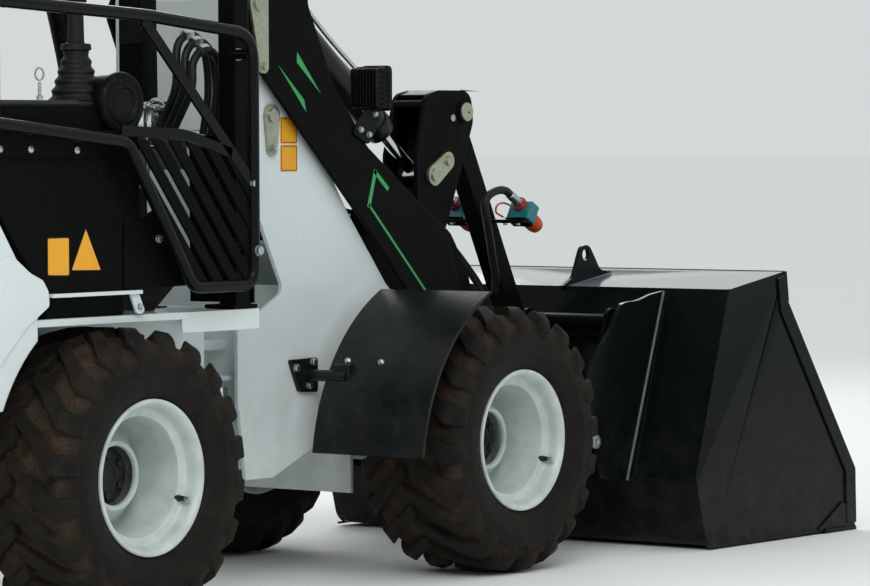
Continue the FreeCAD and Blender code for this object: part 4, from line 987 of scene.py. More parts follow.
@dataclass
class OperatorSeat:
    """Seat cushion and back rest: padded vinyl that swells between its seams, the cushion with its piping."""

    swell: float = 4.0
    voxel: float = 0.006
    cap: float = 0.016
    crown: float = 0.016
    frames: int = 20
    slack: float = 0.022
    half: float = 0.23
    groove: float = 0.009
    groove_width: float = 0.007

    def shell(self, node: str) -> bpy.types.Object:
        """Closed, slightly smaller copy of the plain cushion, remeshed into even cells."""
        mesh = frame["nodes"][node].data.copy()
        obj = bpy.data.objects.new("padded_" + node, mesh)
        bpy.context.scene.collection.objects.link(obj)
        low, high = (np.array(corner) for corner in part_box(node))
        middle = (low + high) / 2
        places = np.empty(len(mesh.vertices) * 3)
        mesh.vertices.foreach_get("co", places)
        places = middle + (places.reshape(-1, 3) - middle) * (1 - self.slack / (high - low))
        mesh.vertices.foreach_set("co", places.reshape(-1))
        self.apply(obj, "REMESH", {"mode": "VOXEL", "voxel_size": self.voxel, "use_smooth_shade": True})
        return obj

    def apply(self, obj: bpy.types.Object, kind: str, settings: dict[str, object]) -> None:
        """Adds a modifier, takes its result as the piece's mesh and removes it."""
        modifier = obj.modifiers.new(kind.lower(), kind)
        for key, value in settings.items():
            setattr(modifier, key, value)
        self.bake(obj)

    def bake(self, obj: bpy.types.Object) -> None:
        """Takes the evaluated mesh in place of the piece's own and clears its modifiers."""
        seen = obj.evaluated_get(bpy.context.evaluated_depsgraph_get())
        mesh = bpy.data.meshes.new_from_object(seen)
        obj.modifiers.clear()
        obj.data = mesh

    def inflate(self, obj: bpy.types.Object) -> None:
        """Cloth under inner pressure, stepped to the last frame, each point's travel held to the cap."""
        count = len(obj.data.vertices)
        before = np.empty(count * 3)
        obj.data.vertices.foreach_get("co", before)
        cloth = obj.modifiers.new("filling", "CLOTH")
        cloth.settings.use_pressure = True
        cloth.settings.uniform_pressure_force = self.swell
        cloth.settings.effector_weights.gravity = 0.0
        cloth.settings.quality = 6
        cloth.point_cache.frame_start = 1
        cloth.point_cache.frame_end = self.frames
        scene = bpy.context.scene
        for step in range(1, self.frames + 1):
            scene.frame_set(step)
        self.bake(obj)
        scene.frame_set(1)
        after = np.empty(count * 3)
        obj.data.vertices.foreach_get("co", after)
        move = (after - before).reshape(-1, 3)
        far = np.linalg.norm(move, axis=1, keepdims=True)
        held = before.reshape(-1, 3) + move * np.minimum(1.0, self.cap / np.maximum(far, 1e-9))
        obj.data.vertices.foreach_set("co", held.reshape(-1))

    def sew(self, obj: bpy.types.Object, node: str, seams: Sequence[float], upright: bool) -> None:
        """Presses sewn channels into the pad and lifts a crown between them.

        Each point on the face moves along its normal by 0.35 crown (1 - across^4) less a groove
        groove * exp(-(distance / groove_width)^2) at each seam.

        Args:
            obj: The pad.
            node: CAD node that it fills.
            seams: Places of the channels from the centre line.
            upright: True for the back rest, whose face looks forward.
        """
        count = len(obj.data.vertices)
        places = np.empty(count * 3)
        normals = np.empty(count * 3)
        obj.data.vertices.foreach_get("co", places)
        obj.data.vertices.foreach_get("normal", normals)
        places, normals = places.reshape(-1, 3), normals.reshape(-1, 3)
        facing = np.clip(normals[:, 0 if upright else 2], 0, 1) ** 2
        across = places[:, 1] / self.half
        groove = np.exp(-((places[:, 1, None]
                           - np.array(seams)[None]) / self.groove_width) ** 2).sum(axis=1)
        rim = np.clip(1 - across ** 4, 0, 1)
        lift = facing * (0.35 * self.crown * rim - self.groove * groove)
        places = places + normals * lift[:, None]
        low, high = (np.array(corner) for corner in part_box(node))
        places = np.clip(places, low + (0.001, 0.001, 0.0005), high - 0.001)
        obj.data.vertices.foreach_set("co", places.reshape(-1))

    def pad(self, node: str, seams: Sequence[float], upright: bool) -> None:
        """One cushion from its CAD solid to its finished form."""
        obj = self.shell(node)
        self.inflate(obj)
        self.sew(obj, node, seams, upright)
        smooth = obj.modifiers.new("smoothing", "SUBSURF")
        smooth.levels = smooth.render_levels = 1
        obj.data.materials.clear()
        obj.data.materials.append(VINYL.make())
        obj.data.polygons.foreach_set("use_smooth", np.ones(len(obj.data.polygons), dtype=bool))
        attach(obj, "rear_frame")
        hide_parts(node)
        LOG.info("padded %s", node)

    def piping(self) -> None:
        """Welt cord round the top of the cushion: a tube along a rounded loop."""
        form = Form()
        loop = rounded([(-1.262, -0.217), (-0.822, -0.217), (-0.822, 0.217), (-1.262, 0.217)], 0.05, 6)
        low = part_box("seat_cushion")[0]
        path = np.c_[loop, np.full(len(loop), low[2] + 0.068)]
        form.grid(tube(np.concatenate([path, path[:1]]), 0.0042, 8), wrap_v=True)
        form.piece("cushion_piping", "rear_frame", [VINYL], Edge.ROUND, "seat_vinyl")

    def belt(self) -> None:
        """Lap belt buckle and its anchor on the right of the seat: moulded housing on a flat strap plate."""
        form = Form()
        origin = (-1.17, -0.232, 0.93)
        form.plate(rounded([(-0.014, 0), (0.014, 0), (0.014, 0.11), (-0.014, 0.11)], 0.005), -0.003, 0.0,
                   0.0008, SIDE_VIEW, origin, slot=1)
        form.plate(rounded([(-0.024, 0.09), (0.024, 0.09), (0.022, 0.155), (-0.022, 0.155)], 0.01), -0.012,
                   0.006, 0.004, SIDE_VIEW, origin)
        form.plate(rounded([(-0.015, 0.138), (0.015, 0.138), (0.015, 0.153), (-0.015, 0.153)], 0.004),
                   -0.014, -0.008, 0.002, SIDE_VIEW, origin, slot=2)
        form.piece("belt_buckle", "rear_frame", [PLASTIC, BRIGHT_ZINC, RED], Edge.MOULDED, "black_plastic")

    def build(self) -> None:
        """Builds the seat."""
        self.pad("seat_cushion", (-0.12, 0.12), False)
        self.pad("seat_back", (-0.12, 0.12), True)
        self.piping()
        self.belt()


@dataclass
class ControlLever:
    """Joystick on the right arm rest: round base, bellows boot, stem, shaped grip and its buttons."""

    foot: tuple[float, float, float] = (-1.0555, -0.348, 1.1203)
    boot_rise: float = 106.0
    folds: int = 5

    def boot(self) -> list[tuple[float, float]]:
        """Profile of the bellows: a cone whose radius swings by 3 mm along a cosine, one swing for each fold."""
        up = np.linspace(0, 1, self.folds * 8 + 1)
        radius = 59 - 33 * up ** 0.9 + 3.0 * np.cos(2 * np.pi * self.folds * up) * (1 - 0.4 * up)
        rows = [(0, TIP), (0, 61), (6, 62), (12, 60), (14, 57)]
        rows += list(zip(14 + self.boot_rise * up, radius))
        return rows + [(122, 30), (124, 34), (136, 32), (138, 18), (138, TIP)]

    def grip(self) -> Points:
        """Palm grip: an oval section that leans and swells with height, closed by a dome.

        The radius is 19 mm plus 6 mm sin(pi up) and the top; the middle leans forward by 18 mm up^2.
        """
        up = np.linspace(0, 1, 26)
        dome = np.sqrt(np.clip(1 - np.clip((up - 0.86) / 0.14, 0, 1) ** 2, 0.0004, 1))
        wide = (0.0185 + 0.0065 * np.sin(np.pi * np.clip(up * 1.15, 0, 1)) + 0.004 * up ** 6) * dome
        turn = np.linspace(0, 2 * np.pi, 28, endpoint=False)
        x = 0.018 * up[:, None] ** 2 + wide[:, None] * 1.12 * np.cos(turn)[None]
        y = wide[:, None] * 0.96 * np.sin(turn)[None] + 0 * x
        z = 0.205 + 0.128 * up[:, None] + 0 * x
        return np.array(self.foot) + np.stack([x, y, z], axis=-1)

    def build(self) -> None:
        """Builds the lever and takes the CAD joystick's place."""
        form = Form()
        form.turning(self.boot(), self.foot, (0, 0, 1), 40)
        form.turning([(132, TIP), (132, 19), (150, 18), (200, 17), (206, 19), (214, 20), (216, TIP)],
                     self.foot, (0, 0, 1), 24)
        form.grid(self.grip(), wrap_v=True, ends=True, slot=1)
        top = np.array(self.foot) + np.array((0.016, 0.0, 0.327))
        for shift, slot in (((0.004, 0.010, 0.001), 2), ((0.004, -0.010, 0.001), 3)):
            form.turning([(0, TIP), (0, 5.4), (3.4, 5.0), (4.4, 3.6), (4.6, TIP)], top + np.array(shift),
                         (0.25, 0, 1), 16, slot=slot)
        made = form.piece("joystick_with_boot", "rear_frame", [RUBBER, PLASTIC, YELLOW, RED], Edge.MOULDED,
                          "black_plastic")
        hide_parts("joystick")


@dataclass
class SteeringPost:
    """Dash, column and steering wheel."""

    head: tuple[float, float, float] = (-0.7555, 0.0, 1.410)
    lean: tuple[float, float, float] = (-0.3085, 0.0, 0.9512)
    ring: float = 0.165

    def wheel(self, form: Form) -> None:
        """Rim of 13 mm radius with finger waves underneath, three flat spokes, a hub with its cap, and a knob."""
        axis = np.array(self.lean) / np.linalg.norm(self.lean)
        side = np.array((0.0, 1.0, 0.0))
        up = np.cross(axis, side)
        turn = np.linspace(0, 2 * np.pi, 96, endpoint=False)[:, None]
        round_section = np.linspace(0, 2 * np.pi, 14, endpoint=False)[None]
        wave = 0.013 + 0.0012 * np.cos(36 * turn) * np.clip(-np.sin(round_section), 0, 1)
        out = self.ring + wave * np.cos(round_section)
        lift = wave * np.sin(round_section)
        spoke_out = np.cos(turn)[..., None] * side + np.sin(turn)[..., None] * up
        form.grid(np.array(self.head) + out[..., None] * spoke_out + lift[..., None] * axis, wrap_u=True,
                  wrap_v=True)
        for angle in (90, 210, 330):
            way = math.cos(math.radians(angle)) * side + math.sin(math.radians(angle)) * up
            reach = np.linspace(0.020, self.ring - 0.004, 8)
            path = np.array(self.head) + reach[:, None] * way - 0.006 * axis
            form.rod(path, 0.0085, 10)
        form.turning([(-18, TIP), (-18, 34), (-8, 40), (8, 38), (14, 30), (17, TIP)], self.head, self.lean,
                     32)
        knob = np.array(self.head) - self.ring * side + 0.014 * axis
        form.turning([(0, TIP), (0, 7), (14, 7), (18, 14), (30, 20), (44, 20), (52, 13), (55, TIP)], knob,
                     self.lean, 20)

    def build(self) -> None:
        """Builds the post from side plates, its display and its switches."""
        form = Form()
        self.wheel(form)
        z = FLOOR_TOP + 0.0003
        x = REAR_AXLE[0]
        dash = rounded([(x + 0.420, z), (x + 0.362, 1.058), (x + 0.470, 1.098), (x + 0.479, z)], 0.018)
        form.plate(dash, -0.12, 0.12, 0.006, slot=1)
        foot = np.array((x + 0.40, 0.0, 1.04))
        rise = np.linspace(0, 0.93, 6)[:, None]
        column = foot + (np.array(self.head) - foot) * rise
        form.rod(column, np.array((34, 33, 30, 27, 26, 26)) * MM, 20)
        slope = np.array((0.108, 0.0, 0.040)) / math.hypot(0.108, 0.040)
        face = (tuple(slope), (0, 1, 0), (-slope[2], 0, slope[0]))
        middle = np.array((x + 0.416, 0.0, 1.0778))
        form.plate(rounded([(-0.030, -0.085), (0.032, -0.085), (0.032, -0.005), (-0.030, -0.005)], 0.008),
                   0.0, 0.008, 0.002, face, middle, slot=2)
        for index in range(3):
            form.plate(rounded([(-0.014, 0.018 + 0.030 * index), (0.014, 0.018 + 0.030 * index),
                                (0.014, 0.038 + 0.030 * index), (-0.014, 0.038 + 0.030 * index)], 0.004),
                       0.0, 0.010, 0.003, face, middle)
        pod = rounded([(x + 0.386, 1.120), (x + 0.386, 1.410), (x + 0.432, 1.400), (x + 0.436, 1.120)],
                      0.012)
        form.plate(pod, -0.190, -0.104, 0.008, slot=1)
        stand = [(x + 0.390, 1.000), (x + 0.390, 1.170), (x + 0.426, 1.170), (x + 0.426, 1.000)]
        form.plate(stand, -0.118, -0.103, 0.002, slot=1)
        glass = rounded([(-0.182, 1.265), (-0.112, 1.265), (-0.112, 1.395), (-0.182, 1.395)], 0.006)
        form.plate(glass, -0.001, 0.003, 0.001, END_VIEW, (x + 0.3845, 0, 0), slot=2)
        made = form.piece("steering_post_with_wheel", "rear_frame", [PLASTIC, TEXTURED_BLACK, DISPLAY],
                          Edge.MOULDED, "black_plastic")
        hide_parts("steering_column")


@dataclass
class OperatorPlace:
    """Consoles, plates, cap, floor mat, valve pipes and the small fasteners round the operator."""

    console: float = -0.445
    guard: float = -0.485

    def plates(self) -> None:
        """Bare yellow plates with a dark printed rim on the console: a rectangle and a triangle."""
        form = Form()
        outside = self.console
        rectangle = [(-1.2575, 0.761), (-1.1895, 0.759), (-1.1895, 0.842), (-1.2575, 0.842)]
        triangle = [(-1.1835, 0.770), (-1.0885, 0.768), (-1.1365, 0.860)]
        for outline, radius in ((rectangle, 0.004), (triangle, 0.003)):
            flat = rounded(outline, radius)
            centre = flat.mean(axis=0)
            inner = centre + (flat - centre) * 0.95
            form.plate(flat, outside - 0.0012, outside + 0.0006, 0.0002, slot=1)
            form.plate(inner, outside - 0.0020, outside + 0.0004, 0.0002)
        form.piece("console_plates", "rear_frame", [YELLOW, DARK_LINE], Edge.CRISP, "")

    def cap(self) -> None:
        """Round ringed cover at the front of the arm rest, a profile of three steps turned about Y."""
        form = Form()
        centre = (-1.006, -0.425, 1.128)
        profile = [(-60, TIP), (-60, 60), (-8, 62), (0, 67), (8, 68), (15, 66), (19, 61), (20, 57),
                   (17, 54), (16, 50), (19, 46), (21, 40), (21.5, 34), (18, 31), (17.5, 20), (18, TIP)]
        form.turning(profile, centre, (0, -1, 0), 56)
        form.piece("arm_rest_cap", "rear_frame", [PLASTIC], Edge.MOULDED, "black_plastic")

    def trim(self) -> None:
        """Console seams, arm rest pad, key and ring, and the panel's round head screws."""
        form = Form()
        y = self.console
        for start, end, wide in (((-1.4555, 1.008), (-1.012, 1.002), 0.006), ((-1.012, 1.002),
                                                                              (-0.985, 0.985), 0.006)):
            run = np.linspace(start, end, 6)
            path = np.stack([run[:, 0], np.full(6, y - 0.002), run[:, 1]], axis=1)
            form.rod(path, wide / 2, 8)
        rest = rounded([(-1.440, -0.428), (-1.118, -0.428), (-1.118, -0.268), (-1.440, -0.268)], 0.02)
        form.plate(rest, 1.1195, 1.1335, 0.006, PLAN_VIEW, slot=1)
        loop = np.linspace(0, 2 * np.pi, 25)
        ring = np.stack([-1.2695 + 0.013 * np.cos(loop), np.full(25, -0.4385),
                         1.1880 + 0.013 * np.sin(loop)], axis=1)
        form.grid(tube(ring, 0.0022, 8), wrap_v=True, slot=2)
        form.turning([(0, TIP), (0, 7), (8, 7), (10, 4), (36, 3.5), (38, TIP)], (-1.2695, -0.4385, 1.1340),
                     (0, 0, 1), 12, slot=2)
        heads = [(x, y, z) for x, z in ((-1.399, 1.030), (-1.3046, 1.029), (-1.16, 1.026))]
        for spot in heads:
            form.turning([(0, TIP), (0, 8.5), (2.5, 7.5), (4.5, 4.5), (5.2, TIP)], spot, (0, -1, 0), 14,
                         slot=2)
        form.piece("console_trim", "rear_frame", [TEXTURED_BLACK, VINYL, BRIGHT_ZINC], Edge.MOULDED,
                   "black_paint")

    def floor_mat(self) -> None:
        """Ribbed rubber mat on the operator floor: 2.8 mm thick, with ridges 1.5 mm high, 14 mm apart."""
        x = np.linspace(REAR_AXLE[0] + 0.196, REAR_AXLE[0] + 0.404, 120)
        y = np.array((-0.235, -0.234, -0.10, 0.0, 0.10, 0.160, 0.161))
        gx, gy = np.meshgrid(x, y, indexing="ij")
        ridge = np.clip(np.cos(2 * np.pi * gx / 0.014) * 4, -1, 1) * 0.00075 + 0.0028
        rim = np.minimum(1.0, np.minimum(gy - y[0], y[-1] - gy) / 0.0009)
        top = FLOOR_TOP + 0.0004 + ridge * np.clip(rim, 0, 1)
        form = Form().grid(np.stack([gx, gy, top], axis=-1))
        form.grid(np.stack([gx, gy, np.full_like(gx, FLOOR_TOP + 0.0003)], axis=-1)[:, ::-1])
        form.piece("ribbed_floor_mat", "rear_frame", [RUBBER], Edge.MOULDED, "black_plastic")

    def valve_pipes(self) -> None:
        """Bright pipes over the stacked valve: arches that rise from each section and lie down to the right."""
        form = Form()
        x, top = REAR_AXLE[0] + 0.410, 1.060
        for index in range(4):
            y = -0.138 - 0.028 * index
            rise = 1.100 + 0.008 * index
            path = curve([(x, y, top + 0.040), (x, y, rise), (x - 0.030, y - 0.004, rise + 0.014),
                          (x - 0.060, y - 0.006, rise - 0.004), (x - 0.066, y - 0.006, top - 0.03),
                          (x - 0.060, y - 0.006, top - 0.12)], 6)
            form.rod(path, 0.0055, 10)
            form.turning([(0, TIP), (0, 12), (14, 12), (16, 9), (22, 8), (22, TIP)], (x, y, top + 0.030),
                         (0, 0, 1), 6, slot=1)
            form.turning([(0, TIP), (0, 8), (20, 8), (22, 4), (44, 4), (48, 9), (58, 9), (60, TIP)],
                         (x + 0.035, y, top + 0.016), (0.2, 0, 1), 14, slot=2)
        run = curve([(x - 0.05, -0.244, 1.030), (x - 0.10, -0.262, 1.032), (x - 0.15, -0.262, 1.028),
                     (x - 0.20, -0.244, 1.000), (x - 0.21, -0.238, 0.930)], 6)
        form.rod(run, 0.007, 10)
        manifold = curve([(-0.745, -0.238, 1.119), (-0.66, -0.238, 1.119), (-0.596, -0.238, 1.119),
                          (-0.579, -0.238, 1.126), (-0.574, -0.236, 1.146)], 6)
        form.rod(manifold, 0.0062, 12)
        for place in (-0.706, -0.672, -0.622):
            form.turning([(-9, TIP), (-9, 9.5), (9, 9.5), (9, TIP)], (place, -0.238, 1.119), (1, 0, 0), 6,
                         slot=1)
        for place in (-0.716, -0.690, -0.650, -0.612):
            form.turning([(0, TIP), (0, 11), (16, 11), (20, 8), (44, 8), (46, TIP)], (place, -0.236, 1.070),
                         (0.1, 0, 1), 6, slot=1 if place < -0.68 else 2)
        tray = rounded([(-0.745, -0.262), (-0.525, -0.262), (-0.525, -0.120), (-0.745, -0.120)], 0.012)
        form.plate(tray, 1.060, 1.066, 0.001, PLAN_VIEW, slot=3)
        for y, tall in ((-0.305, 1.284), (-0.330, 1.268), (-0.352, 1.250)):
            loop = curve([(-0.668, y + 0.060, 1.075), (-0.680, y, 1.160), (-0.672, y, tall - 0.030),
                          (-0.636, y, tall), (-0.596, y, tall - 0.012), (-0.572, y, tall - 0.055),
                          (-0.566, y, 1.150), (-0.570, y + 0.012, 1.060)], 8)
            form.rod(loop, 0.0095, 12, slot=2)
            form.turning([(-14, TIP), (-14, 12), (-2, 13), (12, 12), (14, TIP)], loop[24],
                         loop[25] - loop[24], 6, slot=1)
        form.piece("valve_pipes", "rear_frame", [PIPE, BRIGHT_ZINC, HOSE, WHITE], Edge.MOULDED,
                   "zinc_steel")

    def guard_fittings(self) -> None:
        """Clamp bolts of the side guards with their dome nuts, on both sides of the machine."""
        form = Form()
        x = REAR_AXLE[0]
        for sign in (1, -1):
            outside = sign * (self.guard - 0.012)
            post = sign * (self.guard + 0.0550)
            bolts(form, [(x + 0.425, post, 1.238)], (0, -sign, 0), 14.0)
            form.turning([(8, TIP), (8, 10), (16, 10), (22, 7.5), (25, TIP)], (x + 0.425, post, 1.238),
                         (0, -sign, 0), 20)
            bolts(form, [(x + 0.412, outside - sign * 0.001, 0.800)], (0, -sign, 0), 12.0)
            bolts(form, [(x + 0.405, sign * (self.guard - 0.004), 0.950)], (0, -sign, 0), 9.0)
        form.piece("guard_bolts", "rear_frame", [BRIGHT_ZINC], Edge.CRISP, "zinc_steel")

    def build(self) -> None:
        """Builds the operator's surroundings."""
        self.plates()
        self.cap()
        self.trim()
        self.floor_mat()
        self.valve_pipes()
        self.guard_fittings()


@dataclass
class SideGuard:
    """Bent tube guard beside the operator with its slatted corner, brace and stays, in millimetres from the axle."""

    side: float = 0.485
    leg: float = 412.0
    sill: float = 724.0
    slats: int = 7
    pitch: float = 54.0
    wide: float = 36.0

    def at(self, flat: Points, sign: int) -> Points:
        """Path on the guard's plane from rows of (x, z) in millimetres from the rear axle."""
        return np.c_[REAR_AXLE[0] + flat[:, 0] * MM, np.full(len(flat), -sign * self.side), flat[:, 1] * MM]

    def plate(self, form: Form, outline: Points, sign: int, half: float, slot: int = 0) -> None:
        """Flat plate in the guard's plane."""
        y = -sign * self.side
        form.plate(outline * MM, y - half, y + half, 0.0008, SIDE_VIEW, (REAR_AXLE[0], 0, 0), slot=slot)

    def slat(self, index: int) -> Points:
        """Outline of a slanted slat: parallel lines cut off by the corner's upper edge, its leg and its sill.

        Each line runs by x = top + 272 t, z = 1060 - 336 t, and the first and the last t inside the corner are kept.
        """
        start = -47 + self.pitch * index + np.linspace(0, self.wide, 5)[:, None]
        t = np.linspace(0, 1, 500)[None]
        x, z = start + 272 * t, 1060 - 336 * t + 0 * start
        roof = np.interp(x, (-8, 20, 181, 330, self.leg), (1032, 1050, 1046, 1008, 945))
        slant = 205 - (z - self.sill) * 213 / 308
        inside = (z <= roof) & (z >= self.sill) & (x <= self.leg) & (x >= slant)
        first, last = inside.argmax(axis=1), inside.shape[1] - 1 - inside[:, ::-1].argmax(axis=1)
        rows = np.arange(len(start))
        upper = np.c_[x[rows, first], z[rows, first]]
        lower = np.c_[x[rows, last], z[rows, last]]
        return np.concatenate([upper, lower[::-1]])

    def build(self) -> None:
        """Builds both guards."""
        form = Form()
        rail = bent([(-430, 1340), (60, 1316), (self.leg, 1282), (self.leg, self.sill), (205, self.sill),
                     (-8, 1044), (-430, 1085)], (600, 70, 40, 50, 60))
        bow = bent([(-30, 1068), (181, 1060), (335, 1018)], (330,), 14)
        along = np.gradient(bow, axis=0)
        square = np.stack([-along[:, 1], along[:, 0]], axis=1) / np.linalg.norm(along, axis=1,
                                                                                keepdims=True) * 11.5
        for sign in (1, -1):
            form.rod(self.at(rail, sign), 0.014, 20)
            run = np.array((367.0, -362.0)) / math.hypot(367, 362)
            side = np.array((-run[1], run[0])) * 13
            ends = np.array(((44.0, 1308.0), (411.0, 946.0)))
            self.plate(form, np.array((ends[0] - side, ends[1] - side, ends[1] + side, ends[0] + side)),
                       sign, 0.004)
            self.plate(form, np.concatenate([bow + square, (bow - square)[::-1]]), sign, 0.004)
            for index in range(self.slats):
                self.plate(form, self.slat(index), sign, 0.003, 1)
            form.rod(self.at(np.array(((-420.0, 1080.0), (-420.0, 1342.0))), sign), 0.011, 16)
            for dx, z, inner in ((self.leg, 1238, 0.4303), (self.leg, 800, 0.4303), (-250, 1066, 0.4453)):
                path = np.array(((0, -sign * self.side, 0), (0, -sign * inner, 0)), dtype=float)
                form.rod(path + (REAR_AXLE[0] + dx * MM, 0, z * MM), 0.011, 16)
        made = form.piece("guard_tubes_and_slats", "rear_frame", [RAIL_BLACK, BLACK], Edge.MOULDED,
                          "black_paint")
        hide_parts("side_guards")
        form = Form()
        for sign in (1, -1):
            low, high = sorted((-sign * 0.242, -sign * 0.430))
            x = REAR_AXLE[0] + 0.475
            for outline, back in (([(low, 0.680), (high, 0.680), (high, 1.056), (low, 1.056)], 0.006),
                                  ([(low, 1.052), (high, 1.052), (high, 1.058), (low, 1.058)], 0.024)):
                form.plate(outline, 0.0, back, 0.001, END_VIEW, (x, 0, 0))
            y = -sign * 0.447
            skirt = np.array([(20, 724), (20, 868), (59, 872), (138, 905), (215, 800), (262, 728)]) * MM
            form.plate(skirt, y - 0.0015, y + 0.0015, 0.0006, SIDE_VIEW, (REAR_AXLE[0], 0, 0))
            bolts(form, [(-0.9047, -sign * 0.4485, 0.8317), (-0.8615, -sign * 0.4485, 0.8352)],
                  (0, -sign, 0), 9.0, 1)
            hem = rounded([(-1.2486, 0.7143), (-0.9653, 0.7143), (-0.9653, 0.7225), (-1.2486, 0.7225)],
                          0.001)
            form.plate(hem, y - 0.010, y + 0.010, 0.0006, slot=2)
            tab = rounded([(-0.9984, 0.7150), (-0.9700, 0.7150), (-0.9514, 0.6781), (-0.9613, 0.6699),
                           (-0.9776, 0.6716)], 0.004)
            form.plate(tab, y - 0.003, y + 0.003, 0.0006, slot=2)
            bolts(form, [(-0.9690, y - sign * 0.0032, 0.6870)], (0, -sign, 0), 7.0, 1)
            wing = rounded([(-1.3666, 0.8064), (-1.3134, 0.7692), (-1.2738, 0.7523), (-1.2567, 0.7282),
                            (-1.2542, 0.6968), (-1.3261, 0.6526), (-1.3873, 0.5955), (-1.4118, 0.5715),
                            (-1.4092, 0.7949)], 0.006)
            form.plate(wing, y - 0.0025, y + 0.0025, 0.0012, slot=2)
        form.piece("front_and_lower_panels", "rear_frame", [TEXTURED_BLACK, BRIGHT_ZINC, WHITE], Edge.CRISP,
                   "black_paint")


@dataclass
class RearBody:
    """Hood seams, louvres, latch, charging flap, lamps and reflectors at the back of the machine."""

    back: float = REAR_AXLE[0] - 0.660
    half: float = 0.445

    def louvres(self) -> None:
        """Vent louvres on the hood's back: each a strip whose section swings out 7 mm and back in."""
        form = Form()
        u = np.linspace(0, 1, 9)
        bulge = 0.007 * np.sin(np.pi * u ** 0.7)
        y = np.linspace(-0.20, 0.20, 15)
        taper = np.clip((0.20 - np.abs(y)) / 0.012, 0, 1)
        for index in range(7):
            z = 0.600 + 0.032 * index + 0.022 * u
            x = self.back + 0.0008 - bulge[:, None] * taper[None]
            grid = np.stack([x, np.broadcast_to(y, x.shape), np.broadcast_to(z[:, None], x.shape)], axis=-1)
            inner = grid.copy()
            inner[..., 0] += 0.0015
            form.grid(np.concatenate([grid, inner[::-1]]), wrap_u=True)
        form.piece("hood_louvres", "rear_frame", [WHITE], Edge.MOULDED, "white_paint")

    def seams(self) -> None:
        """Black sealing seam round the hood lid, and its latch and handle."""
        form = Form()
        x0, x1 = self.back + 0.11, REAR_AXLE[0] - 0.470
        loop = rounded([(x0, -0.36), (x1, -0.36), (x1, 0.36), (x0, 0.36)], 0.03, 6)
        path = np.c_[loop, np.full(len(loop), 1.0008)]
        form.grid(tube(np.concatenate([path, path[:1]]), 0.0028, 6), wrap_v=True)
        handle = curve([(self.back, -0.055, 0.900), (self.back - 0.022, -0.050, 0.900), (self.back - 0.026,
                                                                                         0.0, 0.900),
                        (self.back - 0.022, 0.050, 0.900), (self.back, 0.055, 0.900)], 6)
        form.rod(handle, 0.007, 12, slot=1)
        form.turning([(0, TIP), (0, 16), (4, 15), (6, 10), (7, TIP)], (self.back, 0.0, 0.852), (-1, 0, 0),
                     24, slot=2)
        form.piece("hood_seams_and_handle", "rear_frame", [RUBBER, PLASTIC, BRIGHT_ZINC], Edge.MOULDED,
                   "black_plastic")

    def flap(self) -> None:
        """Charging flap with rounded corners on the left of the hood, with its hinge."""
        form = Form()
        y = self.half
        outline = rounded([(-1.655, 0.800), (-1.525, 0.800), (-1.525, 0.925), (-1.655, 0.925)], 0.018, 6)
        form.plate(outline, y - 0.0005, y + 0.004, 0.0018)
        form.turning([(-30, TIP), (-30, 4.5), (30, 4.5), (30, TIP)], (-1.590, y + 0.004, 0.925), (1, 0, 0),
                     12, slot=1)
        form.piece("charging_flap", "rear_frame", [WHITE, BRIGHT_ZINC], Edge.MOULDED, "white_paint")

    def lamps(self) -> None:
        """Rear lamp lenses with three ribs each, over the CAD lamps, and round side reflectors."""
        form = Form()
        x = self.back - 0.0093
        for sign in (1, -1):
            lens = rounded([(-0.356, 0.764), (-0.274, 0.764), (-0.274, 0.826), (-0.356, 0.826)], 0.012, 5)
            lens = lens * (sign, 1)
            form.plate(lens, -0.006, 0.001, 0.003, END_VIEW, (x, 0, 0))
            for z in (0.780, 0.795, 0.810):
                path = np.array([(x - 0.006, sign * y, z) for y in (0.282, 0.348)])
                form.rod(path, 0.0016, 8)
            form.turning([(0, TIP), (0, 21), (3, 21), (5, 18), (5.5, TIP)],
                         (-1.640, -sign * (self.half - 0.0005), 0.715), (0, -sign, 0), 28)
        form.piece("rear_lamp_lenses", "rear_frame", [RED_LENS], Edge.MOULDED, "red_lens")

    def build(self) -> None:
        """Builds the back of the machine."""
        self.louvres()
        self.seams()
        self.flap()
        self.lamps()


